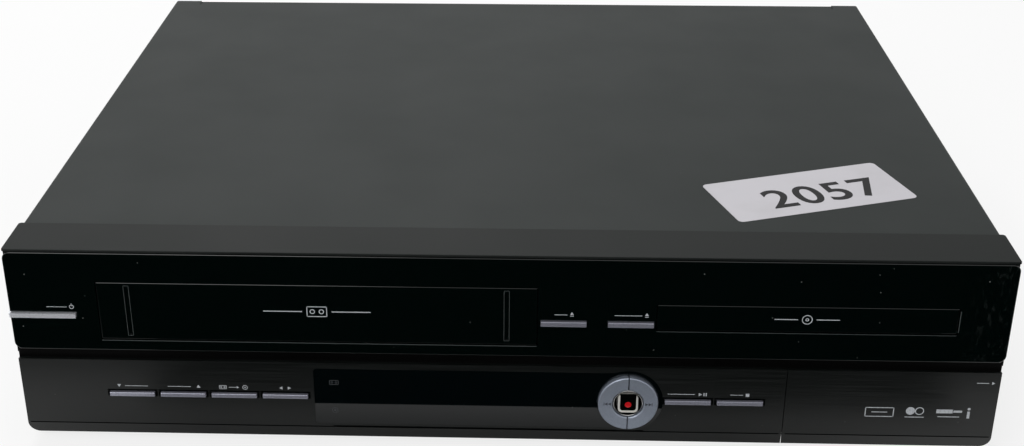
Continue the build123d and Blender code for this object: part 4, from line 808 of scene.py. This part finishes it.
def edges_of(node: str) -> tuple[float, float, float, float]:
    """A node's left, right, lowest and highest place seen from the front, in millimetres."""
    low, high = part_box(node)
    return low.x / MM, high.x / MM, low.z / MM, high.z / MM


def front_of(node: str) -> float:
    """Where a node's foremost face lies along Y, in millimetres."""
    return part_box(node)[0].y / MM


def middle_of(node: str) -> Pair:
    """A node's centre across the front, as x and z in millimetres."""
    left, right, low, high = edges_of(node)
    return (left + right) / 2, (low + high) / 2


def surround(marks: Marks, node: str, gap: float = 0.4, line: float = 0.7) -> None:
    """Paint shade over and beside a bar key, as near-black bars where its recess lies in shade.

    Args:
        marks: The printed piece that takes the lines.
        node: The key's node.
        gap: From the key to the line, in millimetres.
        line: The line's width, in millimetres.
    """
    left, right, low, high = edges_of(node)
    x, width = (left + right) / 2, right - left
    top, bottom = high - KEY_LIP_MM, low + KEY_LIP_MM
    away = width / 2 + gap + line / 2
    marks.bar(x, top + gap + line / 2, width + 2 * (gap + line), line)
    for side in (-1, 1):
        marks.bar(x + side * away, (top + bottom) / 2, line, top - bottom + gap)


@dataclass
class UpperFascia:
    """Signs on the glossy upper half: over the keys, on the cassette door and on the tray.

    Attributes:
        power_mm: The power sign's size, and its place from the standby bar's right end.
        key_rules: For each key, the sign's place along it and its rule's length.
        door_mm: The ends of the painted highlight on the door's lower edge, and the door's bottom.
        door_sign: The cassette sign's width, its rise over the middle, and its rules' length.
        tray_sign: The disc sign's size, and its rules' length.
    """

    rise_mm: float = 3.1
    line_mm: float = 0.28
    eject_mm: float = 1.9
    key_rules: tuple[Pair, Pair] = ((0.68, 5.6), (0.84, 11.9))
    rule_gap_mm: float = 2.0
    power_mm: Pair = (2.1, 1.6)
    standby_rule_mm: float = 9.0
    door_mm: Triple = (-178.0, 13.6, 55.2)
    edge_mm: float = 0.6
    grooves_mm: Pair = (-165.0, 0.4)
    groove_z_mm: float = 69.45
    groove_size_mm: Pair = (2.5, 25.0)
    door_sign: Triple = (9.0, 1.0, 17.0)
    tray_sign: Pair = (4.6, 10.0)

    def over_keys(self) -> None:
        """Print the power sign and the two eject signs over their keys."""
        marks = Marks("upper_key_signs", front_of("upper_fascia"), "case")
        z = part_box("eject_key")[1].z / MM + self.rise_mm - KEY_LIP_MM
        for node, (share, rule) in zip(UPPER_KEYS, self.key_rules):
            left, right = edges_of(node)[:2]
            x = left + share * (right - left)
            marks.eject(x, z + 0.1, self.eject_mm)
            marks.bar(x - self.rule_gap_mm - rule / 2, z, rule, self.line_mm)
        size, inset = self.power_mm
        x = edges_of("standby_key")[1] - inset
        marks.ring(x, z + 0.6, size, self.line_mm).bar(x, z + 1.6, self.line_mm, 1.2)
        marks.bar(x - size - self.standby_rule_mm / 2, z + 0.5, self.standby_rule_mm, self.line_mm)
        marks.finish()

    def edges(self) -> None:
        """Paint highlights on the moulded edges under the door, round its grooves and by the tray.
        """
        lip_highlights = Marks("opening_edge_highlights", front_of("upper_fascia"), "case", Finishes.EDGE)
        left, right, bottom = self.door_mm
        lip_highlights.bar((left + right) / 2, bottom - self.edge_mm, right - left, 0.35)
        left, right, low, high = edges_of("tray_front")
        lip_highlights.bar((left + right) / 2, low - self.edge_mm, right - left, 0.25)
        lip_highlights.bar(right + self.edge_mm, (low + high) / 2, 0.35, high - low - 2.0)
        lip_highlights.finish()
        grooves = Marks(
            "groove_edge_highlights", front_of("cassette_door"), "cassette_door", Finishes.EDGE
        )
        for x in self.grooves_mm:
            grooves.frame(x, self.groove_z_mm, *self.groove_size_mm, 0.22)
        grooves.finish()

    def on_door(self) -> None:
        """Print a cassette sign between two rules on the cassette door."""
        x, z = middle_of("cassette_door")
        width, rise, rule = self.door_sign
        z += rise
        marks = Marks("cassette_door_sign", front_of("cassette_door"), "cassette_door")
        marks.cassette(x, z, width, self.line_mm * 1.4)
        for side in (-1, 1):
            marks.bar(x + side * (6.5 + rule / 2), z, rule, self.line_mm * 1.6)
        marks.finish()

    def on_tray(self) -> None:
        """Print a disc sign between two rules on the tray's front."""
        x, z = middle_of("tray_front")
        size, rule = self.tray_sign
        marks = Marks("tray_sign", front_of("tray_front"), "disc_tray")
        marks.disc_sign(x, z, size, self.line_mm * 1.3)
        for side in (-1, 1):
            marks.bar(x + side * (4.0 + rule / 2), z, rule, self.line_mm * 1.4)
        marks.finish()

    def build(self) -> None:
        """Print every sign of the upper half."""
        self.edges()
        self.over_keys()
        self.on_door()
        self.on_tray()


@dataclass
class LowerFascia:
    """Signs over the lower keys, in the window, on the ring and on the flap.

    Attributes:
        window_signs: For each dim sign in the window, its height and size.
    """

    sign_mm: float = 2.4
    rise_mm: float = 2.9
    line_mm: float = 0.28
    bevel_mm: float = 10.6
    shade_line_mm: float = 0.5
    window_signs: tuple[Pair, Pair] = ((34.0, 4.2), (19.5, 2.8))
    flap_sign_z_mm: float = 23.0

    def over_keys(self) -> None:
        """Print a plain sign over each lower key, with a rule where its word stood."""
        marks = Marks("lower_key_signs", front_of("lower_fascia"), "case")
        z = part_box("play_key")[1].z / MM - KEY_LIP_MM + self.rise_mm
        line, square = self.line_mm, self.sign_mm * 0.66
        arrow, small = self.sign_mm * 0.85, 1.9
        down, up, dubbing, source, play, stop = (middle_of(node)[0] for node in LOWER_KEYS)
        marks.triangle(down - 5.8, z + 0.3, arrow, Way.DOWN).bar(down + 2.0, z, 10.4, line)
        marks.triangle(up + 7.0, z, arrow, Way.UP).bar(up - 1.6, z, 10.4, line)
        marks.cassette(dubbing - 5.0, z, 3.4, line).disc_sign(dubbing + 5.0, z, 2.4, line)
        marks.bar(dubbing - 0.6, z, 3.4, line).triangle(dubbing + 1.6, z, 1.5, Way.RIGHT)
        marks.triangle(source - 1.7, z, small, Way.LEFT)
        marks.triangle(source + 1.7, z, small, Way.RIGHT)
        marks.triangle(play + 5.2, z, arrow, Way.RIGHT).bar(play - 3.0, z, 12.0, line)
        for step in (7.0, 8.0):
            marks.bar(play + step, z, 0.5, self.sign_mm * 0.68)
        marks.bar(stop + 3.2, z, square, square).bar(stop - 1.6, z, 5.6, line)
        marks.finish()

    def in_window(self) -> None:
        """Print the two dim signs that show which side is in use."""
        x = edges_of("display_window")[0] + 9.0
        (cassette_z, width), (disc_z, size) = self.window_signs
        marks = Marks("window_signs", front_of("display_window"), "case", Finishes.DIM_INK)
        marks.cassette(x, cassette_z, width, self.line_mm)
        marks.disc_sign(x, disc_z, size, self.line_mm)
        marks.finish()

    def on_ring(self) -> None:
        """Print the skip signs on the two half rings."""
        for node, way, side in (("previous_key", Way.LEFT, -1), ("next_key", Way.RIGHT, 1)):
            left, right, low, high = edges_of(node)
            inner, outer = (right, left) if side < 0 else (left, right)
            x, z = inner * 0.40 + outer * 0.60, (low + high) / 2
            marks = Marks(f"{node}_sign", front_of(node), node, Finishes.DARK_INK)
            marks.triangle(x - side * 0.8, z, 1.9, way).triangle(x + side * 0.7, z, 1.9, way)
            marks.bar(x + side * 1.8, z, 0.3, 1.6)
            marks.finish()

    def on_flap(self) -> None:
        """Print a pointer at the flap's corner and four plain signs lower down."""
        _, x, _, top = edges_of("av_door")
        marks = Marks("flap_signs", front_of("av_door"), "av_door")
        z = top - 5.3
        marks.triangle(x - 3.2, z, 1.8, Way.RIGHT).bar(x - 7.6, z, 5.2, self.line_mm * 1.3)
        line, z = self.line_mm * 1.5, self.flap_sign_z_mm
        marks.frame(x - 51.0, z, 12.8, 5.0, line).bar(x - 51.0, z, 7.0, line)
        marks.disc(x - 37.4, z + 0.8, 4.0).ring(x - 33.4, z + 0.8, 4.0, line)
        marks.bar(x - 35.4, z - 2.4, 8.4, line)
        marks.bar(x - 22.4, z + 0.8, 7.2, 2.0).bar(x - 16.6, z + 0.8, 3.8, 1.1)
        marks.bar(x - 20.4, z - 2.0, 9.6, line)
        marks.disc(x - 11.8, z + 2.2, 1.3).bar(x - 11.8, z - 0.9, 1.2, 3.6)
        marks.finish()

    def shade_lines(self) -> None:
        """Paint shade as dark lines above the bevel crease, and one at the window's lower edge."""
        for node, body in (("lower_fascia", "case"), ("av_door", "av_door")):
            left, right = edges_of(node)[:2]
            line = Marks(f"{node}_bevel_shade_line", front_of(node), body, Finishes.PAINTED_SHADE)
            line.bar((left + right) / 2, self.bevel_mm, right - left - 2.4, self.shade_line_mm)
            line.finish()
        left, right, low, _ = edges_of("display_window")
        line = Marks("window_edge_shade_line", front_of("display_window"), "case", Finishes.PAINTED_SHADE)
        line.bar((left + right) / 2, low + 0.2, right - left - 16.0, self.shade_line_mm).finish()

    def surrounds(self) -> None:
        """Paint shade round the six lower bar keys, where their recesses lie in shade."""
        marks = Marks("lower_key_recess_shade", front_of("lower_fascia"), "case", Finishes.PAINTED_SHADE)
        for node in LOWER_KEYS:
            surround(marks, node)
        marks.finish()

    def build(self) -> None:
        """Print every sign of the lower half."""
        self.shade_lines()
        self.surrounds()
        self.over_keys()
        self.in_window()
        self.on_ring()
        self.on_flap()


# Trim pieces


@dataclass
class RecordKey:
    """The insert and the red dot in the plated record key, and the bright rim of its dish.

    Attributes:
        inset_mm: The plated edge left beside the insert; foot_mm is the one below it.
        dot_crown: The dot's depth as a share of its width.
    """

    side_mm: float = 9.0
    inset_mm: float = 0.95
    foot_mm: float = 1.35
    lift_mm: float = 0.05
    wrap_mm: float = 1.4
    corner_mm: float = 1.3
    dot_mm: float = 2.9
    dot_drop_mm: float = 0.2
    dot_crown: float = 0.05
    rim_mm: float = 6.4
    rim_wire_mm: float = 0.24
    rim_proud_mm: float = 0.6

    def insert(self) -> None:
        """Build the dark insert, open at the plated lower edge."""
        x, z = middle_of("record_key")
        top, deep = self.side_mm / 2 + self.lift_mm, self.lift_mm + self.wrap_mm
        width = self.side_mm - 2 * self.inset_mm
        height = self.side_mm / 2 - self.foot_mm + top
        front = front_of("record_key") - self.lift_mm
        where = Vector((x, front + deep / 2, z + top - height / 2)) * MM
        shape = Matrix.Diagonal((width * MM, deep * MM, height * MM, 1.0))
        mesh = bmesh.new()
        bmesh.ops.create_cube(mesh, size=1.0, matrix=Matrix.Translation(where) @ shape)
        lower = [
            edge
            for edge in mesh.edges
            if abs(edge.verts[0].co.y - edge.verts[1].co.y) > deep * MM / 2
            and edge.verts[0].co.z < z * MM
        ]
        bmesh.ops.bevel(
            mesh, geom=lower, offset=self.corner_mm * MM, segments=6, profile=0.5,
            affect="EDGES", material=-1,
        )
        insert = into_mesh("record_key_insert", mesh, closed=True)
        settle(insert, Finishes.LENS, "record_key")

    def dot(self) -> None:
        """Build the low red dot on the insert."""
        x, z = middle_of("record_key")
        front = front_of("record_key") - self.lift_mm
        where = Vector((x, front, z - self.dot_drop_mm)) * MM
        shape = Matrix.Translation(where) @ Matrix.Diagonal((1.0, self.dot_crown, 1.0, 1.0))
        dome = bmesh.new()
        bmesh.ops.create_uvsphere(
            dome, u_segments=32, v_segments=16, radius=self.dot_mm * MM / 2, matrix=shape
        )
        dot = into_mesh("record_key_dot", dome, closed=True)
        settle(dot, Finishes.RED, "record_key")

    def rim(self) -> None:
        """Turn the bright rim of the dish round the key."""
        x, z = middle_of("record_key")
        mesh = bmesh.new()
        front = front_of("upper_fascia") - self.rim_proud_mm
        start = Matrix.Translation(Vector((x + self.rim_mm, front, z)) * MM)
        radius = self.rim_wire_mm * MM
        bmesh.ops.create_circle(mesh, cap_ends=False, segments=10, radius=radius, matrix=start)
        bmesh.ops.spin(
            mesh, geom=mesh.edges[:], cent=Vector((x, front, z)) * MM, axis=(0.0, 1.0, 0.0),
            angle=math.tau, steps=72, use_merge=True,
        )
        rim = into_mesh("record_dish_rim", mesh, closed=True)
        settle(rim, Finishes.CHROME, "case")

    def build(self) -> None:
        """Build the insert, the dot and the rim."""
        self.insert()
        self.dot()
        self.rim()


@dataclass
class StockLabel:
    """The print on the paper label: plain digits.

    Attributes:
        weight: How much the strokes are thickened, as a share of the font's size.
        shift_mm: From the label's middle to the middle of the digits, along its sides.
    """

    digits: str = "2057"
    height_mm: float = 19.0
    turn_deg: float = 18.5
    weight: float = 0.014
    squeeze: float = 1.06
    shift_mm: Pair = (5.1, -4.5)
    size_per_height: float = 1.38
    spacing: float = 1.06

    def build(self) -> None:
        """Print the digits on the label and let them ride with the case."""
        low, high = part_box("stock_label")
        text = bpy.data.curves.new("label_digits", "FONT")
        text.body = self.digits
        text.align_x = text.align_y = "CENTER"
        text.size = self.height_mm * MM * self.size_per_height
        text.offset = self.weight * text.size
        text.space_character = self.spacing
        text.resolution_u = 6
        letters = link_object("label_text", text)
        bpy.context.view_layer.update()
        data = bpy.data.meshes.new_from_object(letters)
        bpy.data.objects.remove(letters)
        centre = Vector(((low.x + high.x) / 2, (low.y + high.y) / 2, high.z + INK_LIFT))
        spin = Matrix.Rotation(math.radians(self.turn_deg), 4, "Z")
        shift = Matrix.Translation((self.shift_mm[0] * MM, self.shift_mm[1] * MM, 0.0))
        wide = Matrix.Diagonal((self.squeeze, 1.0, 1.0, 1.0))
        data.transform(Matrix.Translation(centre) @ spin @ shift @ wide)
        data.name = "label_digits"
        settle(data, Finishes.LABEL_INK, "case")


# Dressing and studio


@dataclass
class Dressing:
    """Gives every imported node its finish."""

    fallback: Finishes = Finishes.INNER

    def build(self) -> None:
        """Put the finish of each node in its material slot."""
        for name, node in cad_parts.items():
            finish = FINISH_OF.get(name, self.fallback)
            node.data.materials.clear()
            node.data.materials.append(finish.material())
            LOG.info("dressed %s in %s", name, finish.value.name)


@dataclass
class Studio:
    """The table, the soft light and the camera.

    Attributes:
        eye: Where the camera stands, in metres.
        turn: The camera's turn about X, Y and Z, in radians.
        ledge_mm: How far the pale table reaches in front of the player.
        wing_mm: How much further it reaches at both sides.
        wings_at: The inner end of the left and of the right wing along X, in metres.
        mirrored_x: The middle of the table's part that reflections see dim, in metres.
        mirrored: How far from there that part ends and full brightness starts.
        camera_white: How much of its own white the table shows to the camera.
        world_light: The world's strength as a light, with 1 where it is seen.
    """

    eye: Triple = (0.00693, -0.74533, 0.39305)
    turn: Triple = (1.123795, 0.0027974, 0.0333556)
    lens_mm: float = 52.88
    sensor_mm: float = 36.0
    shift: Pair = (0.0353, -0.0127)
    ledge_mm: float = 33.0
    wing_mm: float = 30.0
    wings_at: Pair = (-0.172, 0.212)
    far: float = 3.0
    mirrored_x: float = -0.02
    mirrored: Pair = (0.12, 0.24)
    camera_white: float = 0.8
    world_light: float = 0.42

    def camera(self) -> None:
        """Set up the camera at the photograph's view."""
        data = bpy.data.cameras.new("camera")
        data.lens = self.lens_mm
        data.sensor_width = self.sensor_mm
        data.shift_x, data.shift_y = self.shift
        camera = link_object("camera", data)
        camera.location = self.eye
        camera.rotation_euler = self.turn
        bpy.context.scene.camera = camera

    def plane(self, name: str, x: Pair, y: Pair, z: float) -> bpy.types.Object:
        """Add a flat stage piece.

        Args:
            name: Its name.
            x: Its limits along X, in metres.
            y: Its limits along Y, in metres.
            z: Its height, in metres.

        Returns:
            The stage piece.
        """
        centre = Matrix.Translation(((x[0] + x[1]) / 2, (y[0] + y[1]) / 2, z))
        size = Matrix.Diagonal(((x[1] - x[0]) / 2, (y[1] - y[0]) / 2, 1.0, 1.0))
        mesh = bmesh.new()
        bmesh.ops.create_grid(mesh, x_segments=1, y_segments=1, size=1.0, matrix=centre @ size)
        piece = link_object(name, into_mesh(name, mesh))
        return piece

    def table_top(self, edge: float) -> bpy.types.Material:
        """Make the table's surface: white, and in reflections bright only at both ends.

        Args:
            edge: The table's front edge along Y, in metres.

        Returns:
            The material.
        """
        material, tree = new_tree("pale_table")
        diffuse = add_node(tree, "ShaderNodeBsdfDiffuse", {"Color": linear("#f2f2f2")})
        white = {"Color": linear("#ffffff"), "Strength": 1.0}
        bright = add_node(tree, "ShaderNodeEmission", white)
        aside = calculate(tree, "ADD", along(tree, "X"), -self.mirrored_x)
        away = calculate(tree, "ABSOLUTE", aside)
        inner = edge + 0.6 * self.ledge_mm * MM
        near = ramp(tree, along(tree, "Y"), (edge, 0.5), (inner, 0.0))
        lit = ramp(tree, away, (self.mirrored[0], near), (self.mirrored[1], 0.95))
        path = add_node(tree, "ShaderNodeLightPath")
        glossy = calculate(tree, "MULTIPLY", path.outputs["Is Glossy Ray"], lit)
        seen = calculate(tree, "MULTIPLY", path.outputs["Is Camera Ray"], self.camera_white)
        share = calculate(tree, "MAXIMUM", glossy, seen)
        inputs = {0: share, 1: diffuse.outputs[0], 2: bright.outputs[0]}
        both = add_node(tree, "ShaderNodeMixShader", inputs)
        add_node(tree, "ShaderNodeOutputMaterial", {"Surface": both.outputs[0]})
        return material

    def floor(self) -> None:
        """Lay the pale table, its wings and the apron in front."""
        edge = CAD_BOX[0].y - self.ledge_mm * MM
        across, wing_y = (-self.far, self.far), (edge - self.wing_mm * MM, edge)
        left, right = self.wings_at
        pieces = [
            self.plane("table", across, (edge, 4.0), 0.0),
            self.plane("table_left", (-self.far, left), wing_y, 0.0),
            self.plane("table_right", (right, self.far), wing_y, 0.0),
            self.plane("table_front", across, (edge - self.far, edge), -0.0005),
        ]
        top = self.table_top(edge)
        for piece in pieces:
            piece.data.materials.append(top)
        pieces[-1].visible_glossy = False

    def card(self) -> None:
        """Lay the dark card in front of the table, which only reflections see."""
        edge = CAD_BOX[0].y - self.ledge_mm * MM
        card = self.plane("dark_card", (-2.0, 2.0), (edge - 2.0, edge), -0.002)
        material, tree = new_tree("dark_card")
        black = add_node(tree, "ShaderNodeBsdfDiffuse", {"Color": linear("#050505")})
        add_node(tree, "ShaderNodeOutputMaterial", {"Surface": black.outputs[0]})
        card.data.materials.append(material)
        for ray in ("camera", "diffuse", "shadow", "transmission"):
            setattr(card, f"visible_{ray}", False)

    def world(self) -> None:
        """Make the surroundings white to look at and softer as a light."""
        world = bpy.data.worlds.new("studio")
        bpy.context.scene.world = world
        world.use_nodes = True
        tree = world.node_tree
        tree.nodes.clear()
        rays = add_node(tree, "ShaderNodeLightPath").outputs
        first = calculate(tree, "ADD", rays["Is Camera Ray"], rays["Is Glossy Ray"])
        seen = calculate(tree, "ADD", first, rays["Is Transmission Ray"], clamp=True)
        strength = ramp(tree, seen, (0.0, self.world_light), (1.0, 1.0))
        values = {"Color": linear("#ffffff"), "Strength": strength}
        back = add_node(tree, "ShaderNodeBackground", values)
        add_node(tree, "ShaderNodeOutputWorld", {"Surface": back.outputs[0]})

    def lamp(self, name: str, place: Triple, size: float, power: float) -> None:
        """Hang a square soft light that looks at the player.

        Args:
            name: The light's name.
            place: Where it hangs, in metres.
            size: Its side, in metres.
            power: Its power, in watts.
        """
        data = bpy.data.lights.new(name, "AREA")
        data.shape = "SQUARE"
        data.size = size
        data.energy = power
        light = link_object(name, data)
        light.location = place
        aim = Vector((0, 0, 0.05)) - Vector(place)
        light.rotation_euler = aim.to_track_quat("-Z", "Y").to_euler()

    def build(self) -> None:
        """Set up the whole studio."""
        self.camera()
        self.floor()
        self.card()
        self.world()
        self.lamp("soft_top", (-0.35, 0.9, 1.4), 1.2, 15.0)
        self.lamp("soft_front", (-0.6, -1.3, 1.0), 0.8, 8.0)
        bpy.context.scene.view_settings.view_transform = "Standard"
        LOG.info("set up the studio")


def main() -> None:
    """Build the pieces in order."""
    logging.basicConfig(level=logging.INFO, format="%(name)s: %(message)s")
    for part in (Studio(), Dressing(), UpperFascia(), LowerFascia(), RecordKey(), StockLabel()):
        part.build()


if __name__ == "__main__":
    main()
